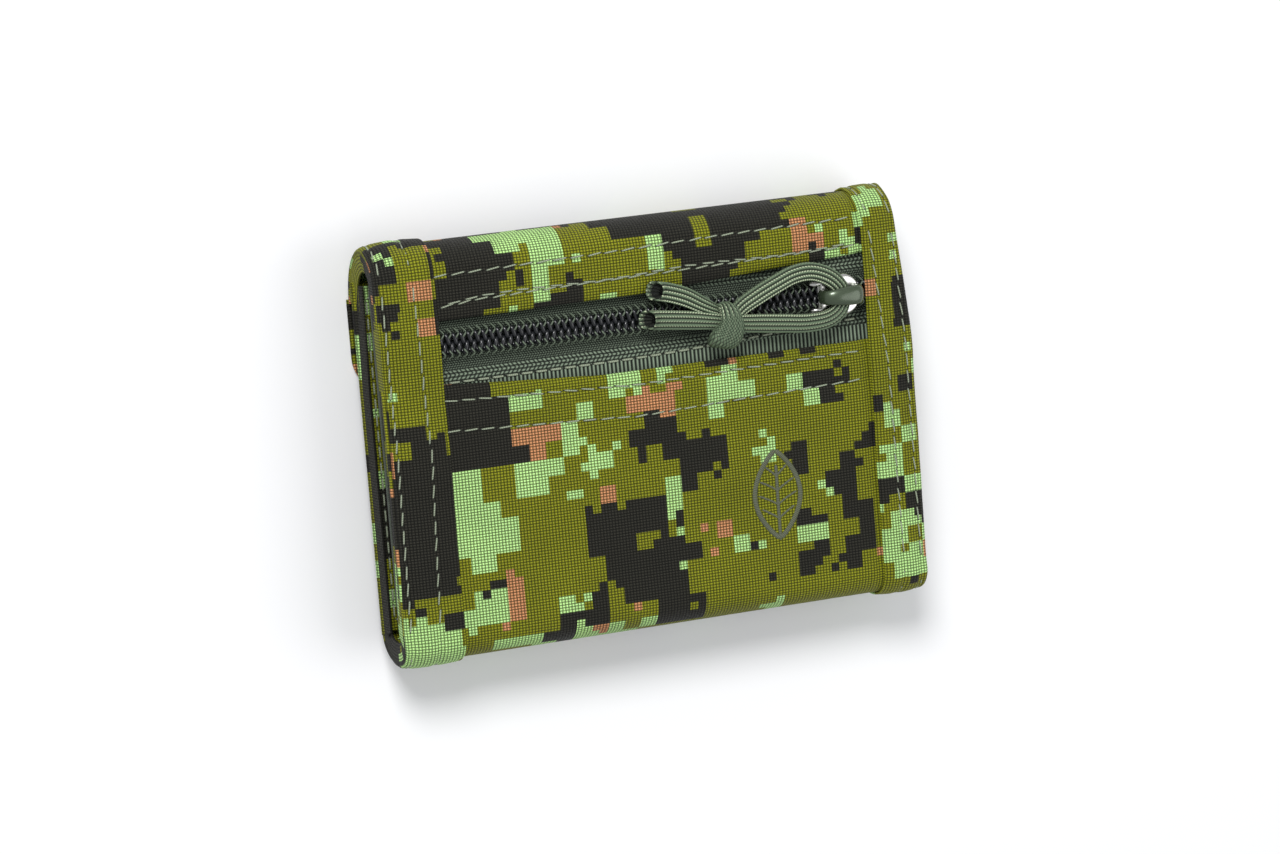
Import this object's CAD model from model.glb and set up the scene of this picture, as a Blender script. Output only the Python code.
"""A closed trifold wallet of printed nylon cloth, lying on its back with the zipped panel up.

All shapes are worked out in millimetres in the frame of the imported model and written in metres.
The outer cloth is one strip that runs from the closing flap over the top fold, down the front
panel, under the bottom fold and along the back panel, so every outer piece is placed on one path.
"""

import sys
import logging
from dataclasses import dataclass, field
from enum import Enum, IntEnum
from typing import Any, Iterable, Sequence

import bpy
import numpy as np
from mathutils import Matrix


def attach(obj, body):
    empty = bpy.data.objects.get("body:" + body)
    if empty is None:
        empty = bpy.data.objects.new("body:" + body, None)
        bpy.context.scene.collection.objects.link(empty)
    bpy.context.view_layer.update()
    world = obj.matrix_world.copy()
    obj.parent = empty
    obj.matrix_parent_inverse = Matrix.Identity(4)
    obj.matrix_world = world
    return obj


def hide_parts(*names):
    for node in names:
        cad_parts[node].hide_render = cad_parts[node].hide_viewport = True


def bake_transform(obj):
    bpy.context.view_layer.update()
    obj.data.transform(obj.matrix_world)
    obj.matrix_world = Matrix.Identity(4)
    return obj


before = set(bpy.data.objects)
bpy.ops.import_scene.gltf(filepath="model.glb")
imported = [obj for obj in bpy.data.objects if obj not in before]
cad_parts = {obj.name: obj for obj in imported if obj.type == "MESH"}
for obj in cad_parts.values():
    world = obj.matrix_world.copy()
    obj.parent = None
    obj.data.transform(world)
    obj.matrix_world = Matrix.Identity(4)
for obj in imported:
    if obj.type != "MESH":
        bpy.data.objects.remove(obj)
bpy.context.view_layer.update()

MM = 0.001
Array = np.ndarray
LOG = logging.getLogger("wallet")


class Body(str, Enum):
    """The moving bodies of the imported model."""

    FRONT = "front_panel"
    BACK = "back_panel"
    FLAP = "closing_flap"
    SLIDER = "slider"
    PULL = "pull"


class Print(IntEnum):
    """The four colours printed on the cloth."""

    OLIVE = 0
    CHARCOAL = 1
    GREEN = 2
    SALMON = 3


# ---- arrays ------------------------------------------------------------------------------


def smoothstep(t: Array | float) -> Array:
    """0 below 0, 1 above 1 and 3t^2 - 2t^3 between."""
    t = np.clip(t, 0.0, 1.0)
    return t * t * (3.0 - 2.0 * t)


def unit(v: Array) -> Array:
    """Vectors divided by their lengths."""
    return v / np.maximum(np.linalg.norm(v, axis=-1, keepdims=True), 1e-9)


def hashed(i: Array, j: Array, seed: int) -> Array:
    """A fixed number from 0 to 1 for each pair of whole numbers: the fraction of a large sine."""
    return np.modf(np.abs(np.sin(i * 127.1 + j * 311.7 + seed * 74.7) * 43758.5453))[0]


def value_noise(x: Array, y: Array, seed: int) -> Array:
    """Smooth noise from 0 to 1: hashed lattice values, blended across each square.

    Args:
        x: positions across the lattice.
        y: positions up the lattice.
        seed: which noise it is.

    Returns:
        The noise at each position.
    """
    i, j = np.floor(x), np.floor(y)
    fx, fy = smoothstep(x - i), smoothstep(y - j)
    low = hashed(i, j, seed) * (1 - fx) + hashed(i + 1, j, seed) * fx
    high = hashed(i, j + 1, seed) * (1 - fx) + hashed(i + 1, j + 1, seed) * fx
    return low * (1 - fy) + high * fy


def catmull_rom(points: Sequence[Sequence[float]], steps: int) -> Array:
    """A smooth curve through the points: Catmull-Rom cubics, steps to each stretch.

    Args:
        points: the points that it passes through.
        steps: steps to each stretch.

    Returns:
        The points of the curve.
    """
    p = np.asarray(points, float)
    p = np.vstack([2 * p[0] - p[1], p, 2 * p[-1] - p[-2]])
    t = np.linspace(0.0, 1.0, steps, endpoint=False)[None, :, None]
    a, b, c, d = (p[n: len(p) - 3 + n, None, :] for n in range(4))
    curve = 0.5 * (2 * b + (c - a) * t + (2 * a - 5 * b + 4 * c - d) * t**2
                   + (3 * b - a - 3 * c + d) * t**3)
    return np.vstack([curve.reshape(-1, p.shape[1]), p[-2:-1]])


def along(points: Array) -> Array:
    """Distance along a run of points."""
    return np.concatenate([[0.0], np.cumsum(np.linalg.norm(np.diff(points, axis=0), axis=1))])


def at_lengths(points: Array, lengths: Array) -> Array:
    """The places at given distances along a run of points."""
    s = along(points)
    return np.stack([np.interp(lengths, s, points[:, k]) for k in range(points.shape[1])], axis=1)


def evenly(points: Array, step: float) -> Array:
    """The same run of points, about step apart."""
    length = along(points)[-1]
    return at_lengths(points, np.linspace(0.0, length, max(int(round(length / step)), 2) + 1))


def from_ends(count: int) -> Array:
    """How many points each point of a run is away from the nearer end."""
    return np.minimum(np.arange(count), np.arange(count)[::-1])


def upward(points: Array) -> Array:
    """The direction straight up, once for each point."""
    return np.broadcast_to([0.0, 0.0, 1.0], points.shape)


def rounded(half: float, corner: float, low: float, y: Array) -> Array:
    """Half width at each y, drawn in by r - sqrt(r^2 - d^2) round the low end's corners."""
    into = (corner - (y - low)).clip(0.0, corner)
    return half - (corner - np.sqrt(np.maximum(corner**2 - into**2, 0.0)))


def surface_normals(grid: Array) -> Array:
    """Unit normals of a grid of points: the cross product of its two slopes."""
    return unit(np.cross(np.gradient(grid, axis=0), np.gradient(grid, axis=1)))


# ---- meshes ------------------------------------------------------------------------------


@dataclass
class Surface:
    """Points, four-cornered faces and a flat pattern position for each point, in millimetres."""

    points: Array
    faces: Array
    uv: Array

    @staticmethod
    def join(parts: Iterable["Surface"]) -> "Surface":
        """Several surfaces as one.

        Args:
            parts: the surfaces.

        Returns:
            The joined surface.
        """
        parts = list(parts)
        starts = np.cumsum([0] + [len(p.points) for p in parts])
        return Surface(np.vstack([p.points for p in parts]),
                       np.vstack([p.faces + n for p, n in zip(parts, starts)]),
                       np.vstack([p.uv for p in parts]))

    def face_uv(self) -> Array:
        """The pattern position of each face's middle."""
        return self.uv[self.faces].mean(axis=1)


def quads(index: Array) -> Array:
    """The faces between neighbours in a grid of point numbers."""
    return np.stack([index[:-1, :-1], index[1:, :-1], index[1:, 1:], index[:-1, 1:]],
                    axis=-1).reshape(-1, 4)


def cloth(outer: Array, thick: Array | float, uv: Array, flip: bool = False,
          rim: int = 3) -> Surface:
    """A closed layer of cloth whose outer face is a grid of points.

    The middle surface lies half a thickness inside the outer face. It is carried on past each
    border by h sin(a) while the half thickness falls as h cos(a), so every border is a half round.

    Args:
        outer: grid of points, n by m by 3.
        thick: thickness of the cloth, one number or one for each point.
        uv: pattern position of each point, n by m by 2.
        flip: whether the grid's own normal points inwards.
        rim: steps round each border.

    Returns:
        The closed surface.
    """
    normal = surface_normals(outer) * (-1.0 if flip else 1.0)
    half = np.broadcast_to(thick, outer.shape[:2])[..., None] / 2.0
    middle = outer - normal * half
    angles = np.linspace(0.0, np.pi / 2, rim + 1)[1:]
    both = np.concatenate([middle, normal, uv, half], axis=2)
    factors = []
    for axis in (0, 1):
        both = np.swapaxes(both, 0, axis)
        ends = []
        for edge, inside in ((both[0], both[1]), (both[-1], both[-2])):
            step = edge - inside
            reach = np.maximum(np.linalg.norm(step[:, :3], axis=1), 1e-6)[None, :, None]
            rows = edge[None] + step[None] / reach * edge[None, :, 8:] * np.sin(
                angles)[:, None, None]
            rows[..., 3:6] = edge[None, :, 3:6]
            rows[..., 8:] = edge[None, :, 8:]
            ends.append(rows)
        both = np.concatenate([ends[0][::-1], both, ends[1]], axis=0)
        taper = np.cos(angles)
        factors.append(np.concatenate([taper[::-1], np.ones(len(both) - 2 * rim), taper]))
        both = np.swapaxes(both, 0, axis)
    share = both[..., 8:] * factors[0][:, None, None] * factors[1][None, :, None]
    top = both[..., :3] + both[..., 3:6] * share
    low = both[..., :3] - both[..., 3:6] * share
    n, m = top.shape[:2]
    upper = np.arange(n * m).reshape(n, m)
    under = upper.copy()
    under[1:-1, 1:-1] = n * m + np.arange((n - 2) * (m - 2)).reshape(n - 2, m - 2)
    points = np.vstack([top.reshape(-1, 3), low[1:-1, 1:-1].reshape(-1, 3)])
    flat = np.vstack([both[..., 6:8].reshape(-1, 2), both[1:-1, 1:-1, 6:8].reshape(-1, 2)])
    one, other = quads(upper), quads(under)[:, ::-1]
    if flip:
        one, other = one[:, ::-1], other[:, ::-1]
    return Surface(points, np.vstack([one, other]), flat)


def skin(ring: Array, lengths: Array, turn_last: bool = False) -> Surface:
    """A closed surface over rows of rings, with a strip of faces across both ends.

    Args:
        ring: points, k rings of n.
        lengths: first pattern coordinate of each ring.
        turn_last: whether the last strip of faces is wound the other way from the first.

    Returns:
        The closed surface.
    """
    k, n = ring.shape[:2]
    index = np.arange(k * n).reshape(k, n)
    caps = []
    for row in (index[0], index[-1]):
        near, far = row[:n // 2], row[::-1][:n // 2]
        caps.append(np.stack([near[:-1], near[1:], far[1:], far[:-1]], axis=1))
    if turn_last:
        caps[1] = caps[1][:, ::-1]
    sides = quads(np.concatenate([index, index[:, :1]], axis=1))[:, ::-1]
    girth = np.linspace(0.0, 1.0, n, endpoint=False)
    uv = np.stack(np.broadcast_arrays(lengths[:, None], girth[None]), axis=2)
    return Surface(ring.reshape(-1, 3), np.vstack([sides] + caps), uv.reshape(-1, 2))


def tube(path: Array, normal: Array, section: Array) -> Surface:
    """A closed section carried along a path, with closed ends.

    Args:
        path: points along the middle, k by 3.
        normal: the direction of the section's second axis at each point, k by 3.
        section: the outline at each point, k by n by 2, or n by 2 for one outline throughout.

    Returns:
        The closed surface.
    """
    tangent = unit(np.gradient(path, axis=0))
    normal = unit(normal - (normal * tangent).sum(1, keepdims=True) * tangent)
    side = np.cross(normal, tangent)
    outline = np.broadcast_to(section, (len(path),) + np.shape(section)[-2:])
    ring = (path[:, None] + side[:, None] * outline[..., :1] + normal[:, None] * outline[..., 1:])
    return skin(ring, along(path))


def oval(width: float, height: float, sides: int, power: float = 2.0) -> Array:
    """A superellipse outline: |x/a|^p + |y/b|^p = 1.

    Args:
        width: full width.
        height: full height.
        sides: number of points.
        power: 2 for an ellipse, more for a squarer outline.

    Returns:
        The outline, n by 2.
    """
    a = np.arange(sides) * 2 * np.pi / sides
    c, s = np.cos(a), np.sin(a)
    return np.stack([width / 2 * np.sign(c) * np.abs(c) ** (2 / power),
                     height / 2 * np.sign(s) * np.abs(s) ** (2 / power)], axis=1)


BIT_RINGS = 8   # rings along one stitch
BIT_SIDES = 6   # points round each ring


def thread_bits(start: Array, end: Array, normal: Array, width: float) -> Surface:
    """One stitch between each pair of points: a short thread that dips into the cloth at its ends.

    The middle stands 0.8 of a half width proud, and both ends sink by 1.3 half widths, as the
    sixth power of the distance from the middle.

    Args:
        start: where each stitch starts.
        end: where it ends.
        normal: outward direction of the cloth at each.
        width: width of the thread.

    Returns:
        Every stitch, in one surface.
    """
    t = np.linspace(-1.0, 1.0, BIT_RINGS)
    lift = width / 2 * (0.8 - 2.1 * t**6)
    thin = width / 2 * (1.0 - 0.35 * np.abs(t) ** 5)
    tangent = unit(end - start)
    side = np.cross(tangent, normal)
    line = (start[:, None] * (1 - t)[None, :, None] + end[:, None] * (1 + t)[None, :, None]) / 2
    line = line + normal[:, None] * lift[None, :, None]
    a = np.arange(BIT_SIDES) * 2 * np.pi / BIT_SIDES
    around = (side[:, None, None] * np.cos(a)[None, None, :, None]
              + normal[:, None, None] * np.sin(a)[None, None, :, None])
    ring = line[:, :, None] + around * thin[None, :, None, None]
    k = len(start)
    index = np.arange(k * BIT_RINGS * BIT_SIDES).reshape(k, BIT_RINGS, BIT_SIDES)
    index = np.concatenate([index, index[:, :, :1]], axis=2)
    body = np.stack([index[:, :-1, :-1], index[:, :-1, 1:], index[:, 1:, 1:], index[:, 1:, :-1]],
                    axis=-1).reshape(-1, 4)
    first, last = index[:, 0], index[:, -1]
    caps = [first[:, [3, 2, 1, 0]], first[:, [5, 4, 3, 0]],
            last[:, [0, 1, 2, 3]], last[:, [0, 3, 4, 5]]]
    uv = np.stack(np.broadcast_arrays(t[None, :, None], (np.arange(BIT_SIDES) / BIT_SIDES)[None, None, :],
                                      np.zeros((k, 1, 1)))[:2], axis=-1)
    return Surface(ring.reshape(-1, 3), np.vstack([body] + caps), uv.reshape(-1, 2))


def linked(name: str, data: bpy.types.ID) -> bpy.types.Object:
    """A new object that stands in the scene.

    Args:
        name: its name.
        data: its mesh, camera or light.

    Returns:
        The object.
    """
    made = bpy.data.objects.new(name, data)
    bpy.context.scene.collection.objects.link(made)
    return made


def stood(axes: Sequence[Array], where: Sequence[float]) -> Matrix:
    """The matrix of an object with these three axes and this place."""
    return Matrix([[*(axis[k] for axis in axes), where[k]] for k in range(3)] + [[0, 0, 0, 1]])


def make(name: str, shape: Surface, finish: bpy.types.Material, body: Body | None,
         replaces: Sequence[str] = (),
         printed: Array | None = None, sharp: float = 50.0) -> bpy.types.Object:
    """Writes a surface into a mesh object and hands it to the frame.

    Args:
        name: the piece's name.
        shape: the surface, in millimetres.
        finish: its material.
        body: the body it rides on, or None where it is blended across a joint later.
        replaces: CAD nodes that it stands for.
        printed: colour number of each face, for printed cloth.
        sharp: angle in degrees above which an edge stays sharp.

    Returns:
        The new object.
    """
    mesh = bpy.data.meshes.new(name)
    mesh.from_pydata((shape.points * MM).tolist(), [], shape.faces.tolist())
    layer = mesh.uv_layers.new(name="cloth")
    corners = np.zeros(len(mesh.loops), np.int32)
    mesh.loops.foreach_get("vertex_index", corners)
    layer.data.foreach_set("uv", shape.uv[corners].astype(np.float32).ravel())
    if printed is not None:
        tint = mesh.attributes.new("printed", "FLOAT", "FACE")
        tint.data.foreach_set("value", ((printed + 0.5) / 4.0).astype(np.float32))
    mesh.shade_smooth()
    mesh.set_sharp_from_angle(angle=np.radians(sharp))
    mesh.materials.append(finish)
    piece = linked(name, mesh)
    if body is not None:
        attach(piece, body.value)
    if replaces:
        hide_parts(*replaces)
    LOG.info("%s: %d faces", name, len(shape.faces))
    return piece


# ---- finishes ----------------------------------------------------------------------------


def linear(hex_colour: str) -> tuple[float, float, float, float]:
    """An sRGB hex value as a linear colour.

    Args:
        hex_colour: a hash sign and six digits.

    Returns:
        Red, green, blue and an alpha of 1.
    """
    c = np.array([int(hex_colour[n:n + 2], 16) / 255.0 for n in (1, 3, 5)])
    c = np.where(c <= 0.04045, c / 12.92, ((c + 0.055) / 1.055) ** 2.4)
    return (*c.tolist(), 1.0)


class Recipe:
    """One material and the nodes that make it."""

    def __init__(self, name: str) -> None:
        """Starts with an empty tree and a Principled shader.

        Args:
            name: the material's name.
        """
        self.material = bpy.data.materials.new(name)
        self.material.use_nodes = True
        self.tree = self.material.node_tree
        self.shader = self.tree.nodes["Principled BSDF"]

    def add(self, kind: str, inputs: dict[Any, Any] | None = None,
            **settings: Any) -> bpy.types.Node:
        """Adds a node with its settings, values and links.

        Args:
            kind: the node's type, less its ShaderNode prefix.
            inputs: a value, a node or a socket for each input's name or number.
            settings: the node's own properties.

        Returns:
            The node.
        """
        made = self.tree.nodes.new("ShaderNode" + kind)
        for key, value in settings.items():
            setattr(made, key, value)
        self.feed(made, inputs or {})
        return made

    def feed(self, made: bpy.types.Node, inputs: dict[Any, Any]) -> None:
        """Sets or links a node's inputs.

        Args:
            made: the node.
            inputs: a value, a node or a socket for each input's name or number.
        """
        for key, value in inputs.items():
            if isinstance(value, bpy.types.Node):
                value = value.outputs[0]
            if isinstance(value, bpy.types.NodeSocket):
                self.tree.links.new(value, made.inputs[key])
            else:
                if made.inputs[key].type == "VECTOR" and not isinstance(value, float):
                    value = value[:3]
                made.inputs[key].default_value = value

    def finish(self, **inputs: Any) -> bpy.types.Material:
        """Feeds the shader, with an underscore for each space in a socket's name."""
        self.feed(self.shader, {key.replace("_", " "): v for key, v in inputs.items()})
        return self.material

    def flat_position(self) -> tuple[bpy.types.NodeSocket, bpy.types.NodeSocket]:
        """The two pattern coordinates, in millimetres.

        Returns:
            The sockets across and along.
        """
        where = self.add("UVMap", uv_map="cloth")
        split = self.add("SeparateXYZ", {0: where})
        return split.outputs[0], split.outputs[1]

    def waves(self, value: Any, period: float, phase: float = 0.0) -> bpy.types.Node:
        """sin(pi (value / period + phase))."""
        turn = self.add("Math", {0: value, 1: np.pi / period, 2: np.pi * phase},
                        operation="MULTIPLY_ADD")
        return self.add("Math", {0: turn}, operation="SINE")

    def plain_weave(self, u: Any, v: Any, warp: float, weft: float) -> bpy.types.Node:
        """Height of a plain weave, from 0 to 1.

        A and B are sines of the two thread pitches. Where A B is above 0 the warp is on top, and
        the height is |A|^0.8 |B|^0.3; elsewhere the weft is, with the powers exchanged.

        Args:
            u: position across the warp.
            v: position across the weft.
            warp: pitch of the warp threads.
            weft: pitch of the weft threads.

        Returns:
            The node that gives the height.
        """
        a, b = self.waves(u, warp), self.waves(v, weft)
        over = self.add("Math", {0: self.add(
            "Math", {0: a, 1: b}, operation="MULTIPLY"), 1: 0.0},
            operation="GREATER_THAN")
        size = [self.add("Math", {0: w}, operation="ABSOLUTE") for w in (a, b)]
        tops = []
        for across, lengthwise in (size, size[::-1]):
            tops.append(self.add("Math", {
                0: self.add("Math", {0: across, 1: 0.8}, operation="POWER"),
                1: self.add("Math", {0: lengthwise, 1: 0.3}, operation="POWER")},
                operation="MULTIPLY"))
        return self.add("Mix", {0: over, 2: tops[1], 3: tops[0]}, data_type="FLOAT")

    def shaded(self, colour: Any, height: Any, low: float, high: float) -> bpy.types.Node:
        """The colour times a brightness that goes from low to high with the height."""
        bright = self.add("MapRange", {0: height, 3: low, 4: high})
        return self.add("VectorMath", {0: colour, "Scale": bright}, operation="SCALE")


@dataclass(frozen=True)
class PrintedNylon:
    """Coated 500 denier nylon in plain weave, printed with square-edged patches.

    The eye sees each thread crossing as a small oval with a dark hole at its corners, a dull
    sheen, and four flat colours whose edges follow the print's squares.
    """

    name: str = "nylon_500d_plain_weave_printed"
    olive: str = "#808312"
    charcoal: str = "#27261E"
    green: str = "#B4DF8A"
    salmon: str = "#C58A5C"
    warp: float = 0.74
    weft: float = 0.64

    def make(self) -> bpy.types.Material:
        """Builds the material.

        Returns:
            The material.
        """
        r = Recipe(self.name)
        u, v = r.flat_position()
        print_number = r.add("Attribute", attribute_name="printed")
        ramp = r.add("ValToRGB", {0: print_number.outputs["Fac"]})
        ramp.color_ramp.interpolation = "CONSTANT"
        stops = ramp.color_ramp.elements
        stops[0].position, stops[0].color = 0.0, linear(self.olive)
        stops[1].position, stops[1].color = 0.25, linear(self.charcoal)
        for place, colour in ((0.5, self.green), (0.75, self.salmon)):
            stops.new(place).color = linear(colour)
        place = r.add("CombineXYZ", {0: u, 1: v})
        slub = r.add("TexNoise", {"Vector": place, "Scale": 1.7, "Detail": 3.0},
                     noise_dimensions="2D")
        cloudy = r.add("TexNoise", {"Vector": place, "Scale": 0.08, "Detail": 2.0},
                       noise_dimensions="2D")
        weave = r.plain_weave(u, v, self.warp, self.weft)
        raised = r.add("Math", {0: weave, 1: 1.7}, operation="POWER")
        colour = r.shaded(ramp, raised, 0.14, 1.42)
        colour = r.shaded(colour, slub.outputs[0], 0.70, 1.20)
        colour = r.shaded(colour, cloudy.outputs[0], 0.86, 1.14)
        height = r.add("Math", {0: weave, 1: r.add(
            "Math", {0: slub.outputs[0], 1: 0.35}, operation="MULTIPLY")},
            operation="ADD")
        rough = r.add("MapRange", {0: weave, 3: 0.85, 4: 0.62})
        return r.finish(Base_Color=colour, Roughness=rough,
                        Normal=r.add("Bump", {"Height": height, "Distance": 0.20 * MM}),
                        Sheen_Weight=0.03, Sheen_Roughness=0.4, Specular_IOR_Level=0.22)


@dataclass(frozen=True)
class SewingThread:
    """Bonded polyester thread, two plies twisted: a matte thread with fine slanting grooves.

    The first pattern coordinate runs from -1 to 1 along each stitch, and the thread darkens where
    it goes down into its needle holes.
    """

    name: str = "polyester_sewing_thread"
    colour: str = "#9AA48C"
    shade: float = 0.55
    ply: float = 0.26
    sunk: float = 0.66

    def make(self) -> bpy.types.Material:
        """Builds the material.

        Returns:
            The material.
        """
        r = Recipe(self.name)
        u, v = r.flat_position()
        slant = r.add("Math", {0: v, 1: self.ply, 2: u}, operation="MULTIPLY_ADD")
        ply = r.waves(slant, self.ply)
        height = r.add("Math", {0: ply}, operation="ABSOLUTE")
        colour = r.shaded(linear(self.colour), height, self.shade, 1.05)
        away = r.add("Math", {0: u}, operation="ABSOLUTE")
        hole = r.add("MapRange", {0: away, 1: self.sunk, 2: self.sunk + 0.14,
                                            3: 1.0, 4: 0.10})
        colour = r.add("VectorMath", {0: colour, "Scale": hole}, operation="SCALE")
        return r.finish(Base_Color=colour, Roughness=0.62,
                        Normal=r.add("Bump", {"Height": height, "Distance": 0.06 * MM}))


@dataclass(frozen=True)
class ZipTape:
    """Polyester zip tape: fine plain weave by the coil, coarse herringbone, then a ribbed edge.

    The pattern's second coordinate is the distance from the zip's line, so each zone keeps its
    place. The coarse yarns are lighter than the dark ground and show as slanting dots.
    """

    name: str = "polyester_zip_tape_herringbone"
    ground: str = "#151A15"
    yarn: str = "#8A9A84"
    coarse_from: float = 5.2
    ribs_from: float = 8.6
    slope: float = 0.014

    def make(self) -> bpy.types.Material:
        """Builds the material.

        Returns:
            The material.
        """
        r = Recipe(self.name)
        u, v = r.flat_position()
        away = r.add("Math", {0: u, 1: self.slope, 2: v}, operation="MULTIPLY_ADD")
        zigzag = r.add("Math", {0: v, 1: 1.2}, operation="PINGPONG")
        lean = r.add("Math", {0: zigzag, 1: 0.7, 2: u}, operation="MULTIPLY_ADD")
        fine = r.plain_weave(lean, v, 0.62, 0.5)
        dots = r.plain_weave(lean, v, 1.0, 0.85)
        rib = r.add("Math", {0: r.waves(u, 0.95)}, operation="ABSOLUTE")
        coarse = r.add("MapRange", {0: away, 1: self.coarse_from,
                                              2: self.coarse_from + 0.6})
        ribbed = r.add("Math", {0: away, 1: self.ribs_from},
                       operation="GREATER_THAN")
        height = r.add("Mix", {0: coarse, 2: fine, 3: dots}, data_type="FLOAT")
        height = r.add("Mix", {0: ribbed, 2: height, 3: rib}, data_type="FLOAT")
        blend = r.add("Math", {0: height, 1: 3.0}, operation="POWER")
        top = r.add("MapRange", {0: coarse.outputs[0], 3: 0.55, 4: 1.0})
        blend = r.add("Math", {0: blend, 1: top}, operation="MULTIPLY")
        colour = r.add("Mix", {0: blend, 6: linear(self.ground),
                                         7: linear(self.yarn)}, data_type="RGBA")
        return r.finish(Base_Color=colour.outputs[2], Roughness=0.75,
                        Specular_IOR_Level=0.25,
                        Normal=r.add("Bump", {"Height": height, "Distance": 0.20 * MM}))


@dataclass(frozen=True)
class CoilNylon:
    """Extruded nylon monofilament, dyed black: smooth, with a long soft highlight."""

    name: str = "nylon_monofilament_black"
    colour: str = "#15171A"

    def make(self) -> bpy.types.Material:
        """Builds the material.

        Returns:
            The material.
        """
        r = Recipe(self.name)
        return r.finish(Base_Color=linear(self.colour), Roughness=0.3, Coat_Weight=0.3,
                        Coat_Roughness=0.15)


@dataclass(frozen=True)
class PlatedZinc:
    """Die-cast zinc, barrel polished and nickel plated: bright, with faint tumbling marks."""

    name: str = "die_cast_zinc_nickel_plated"
    colour: str = "#DEDDD8"

    def make(self) -> bpy.types.Material:
        """Builds the material.

        Returns:
            The material.
        """
        r = Recipe(self.name)
        where = r.add("TexCoord")
        marks = r.add("TexNoise", {"Vector": where.outputs["Object"],
                                             "Scale": 900.0, "Detail": 4.0})
        rough = r.add("MapRange", {0: marks.outputs[0], 3: 0.16, 4: 0.34})
        return r.finish(Base_Color=linear(self.colour), Metallic=1.0, Roughness=rough,
                        Normal=r.add("Bump", {"Height": marks.outputs[0], "Distance": 0.02 * MM}))


@dataclass(frozen=True)
class StovedEnamel:
    """Grey-green enamel stoved over the slider's bridge: a glossy skin with a metallic ground."""

    name: str = "stoved_enamel_grey_green"
    colour: str = "#47543F"

    def make(self) -> bpy.types.Material:
        """Builds the material.

        Returns:
            The material.
        """
        r = Recipe(self.name)
        where = r.add("TexCoord")
        specks = r.add("TexNoise", {"Vector": where.outputs["Object"],
                                              "Scale": 2500.0, "Detail": 2.0})
        colour = r.shaded(linear(self.colour), specks.outputs[0], 0.85, 1.15)
        return r.finish(Base_Color=colour, Metallic=0.55, Roughness=0.36, Coat_Weight=0.8,
                        Coat_Roughness=0.16)


@dataclass(frozen=True)
class BraidedSheath:
    """Nylon cord sheath, braided from flat bundles: ribs along the cord made of slanting yarns.

    The pattern runs along the cord in millimetres and once round it from 0 to 1. Beside every
    rib a pale tracer yarn shows as a row of dots. Where the cord is drawn wide in the knot the
    ribs flatten out and the crossing bundles show. Below zero the pattern is inside the sheath.
    """

    name: str = "nylon_braided_sheath"
    mid: str = "#6D8065"
    light: str = "#C3CEAB"
    dark: str = "#0E130D"
    ribs: int = 10
    yarn: float = 1.3
    knot_middle: float = 26.5
    knot_half: float = 5.5
    knot_girth: float = 17.0

    def make(self) -> bpy.types.Material:
        """Builds the material.

        Returns:
            The material.
        """
        r = Recipe(self.name)
        u, v = r.flat_position()
        row = r.add("Math", {0: v, 1: float(self.ribs)}, operation="MULTIPLY")
        zig = r.add("Math", {0: row, 1: 1.0}, operation="PINGPONG")
        slant = r.add("Math", {0: zig, 1: 0.7, 2: u}, operation="MULTIPLY_ADD")
        yarn = r.add("Math", {0: r.waves(slant, self.yarn / 2)}, operation="ABSOLUTE")
        crest = r.add("Math", {0: r.waves(row, 1.0)}, operation="ABSOLUTE")
        round_rib = r.add("Math", {0: crest, 1: 1.3}, operation="POWER")
        twist = r.add("MapRange", {0: yarn, 3: 0.66, 4: 1.0})
        height = r.add("Math", {0: round_rib, 1: twist}, operation="MULTIPLY")
        round_way = r.add("Math", {0: v, 1: self.knot_girth}, operation="MULTIPLY")
        crossing = r.plain_weave(
            r.add("Math", {0: u, 1: round_way}, operation="ADD"),
            r.add("Math", {0: u, 1: round_way}, operation="SUBTRACT"), 0.85, 0.85)
        from_knot = r.add("Math", {0: r.add("Math", {
            0: u, 1: self.knot_middle}, operation="SUBTRACT")}, operation="ABSOLUTE")
        knot = r.add("MapRange", {0: from_knot, 1: self.knot_half - 1.5,
                                            2: self.knot_half, 3: 1.0, 4: 0.0})
        height = r.add("Mix", {0: knot, 2: height, 3: crossing}, data_type="FLOAT")
        ground = r.add("Mix", {0: height, 6: linear(self.dark), 7: linear(self.mid)},
                       data_type="RGBA")
        # a pale yarn lies beside every crest and shows as dots
        beside = r.add("Math", {0: r.add("Math", {
            0: r.add("Math", {0: row}, operation="FRACT"), 1: 0.28},
            operation="SUBTRACT")}, operation="ABSOLUTE")
        narrow = r.add("MapRange", {0: beside, 1: 0.05, 2: 0.17, 3: 1.0, 4: 0.0})
        dots = r.add("MapRange", {0: yarn, 1: 0.40, 2: 0.85})
        tracer = r.add("Math", {0: dots, 1: narrow}, operation="MULTIPLY")
        shown = r.add("MapRange", {0: knot, 3: 1.0, 4: 0.15})
        tracer = r.add("Math", {0: tracer, 1: shown}, operation="MULTIPLY")
        colour = r.add("Mix", {0: tracer, 6: ground.outputs[2],
                                         7: linear(self.light)}, data_type="RGBA")
        hollow = r.add("MapRange", {0: u, 1: -1.3, 2: -0.3, 3: 0.04, 4: 1.0})
        colour = r.add("VectorMath", {0: colour.outputs[2], "Scale": hollow},
                       operation="SCALE")
        return r.finish(Base_Color=colour, Roughness=0.7, Specular_IOR_Level=0.3,
                        Normal=r.add("Bump", {"Height": height, "Distance": 0.16 * MM}))


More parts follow.
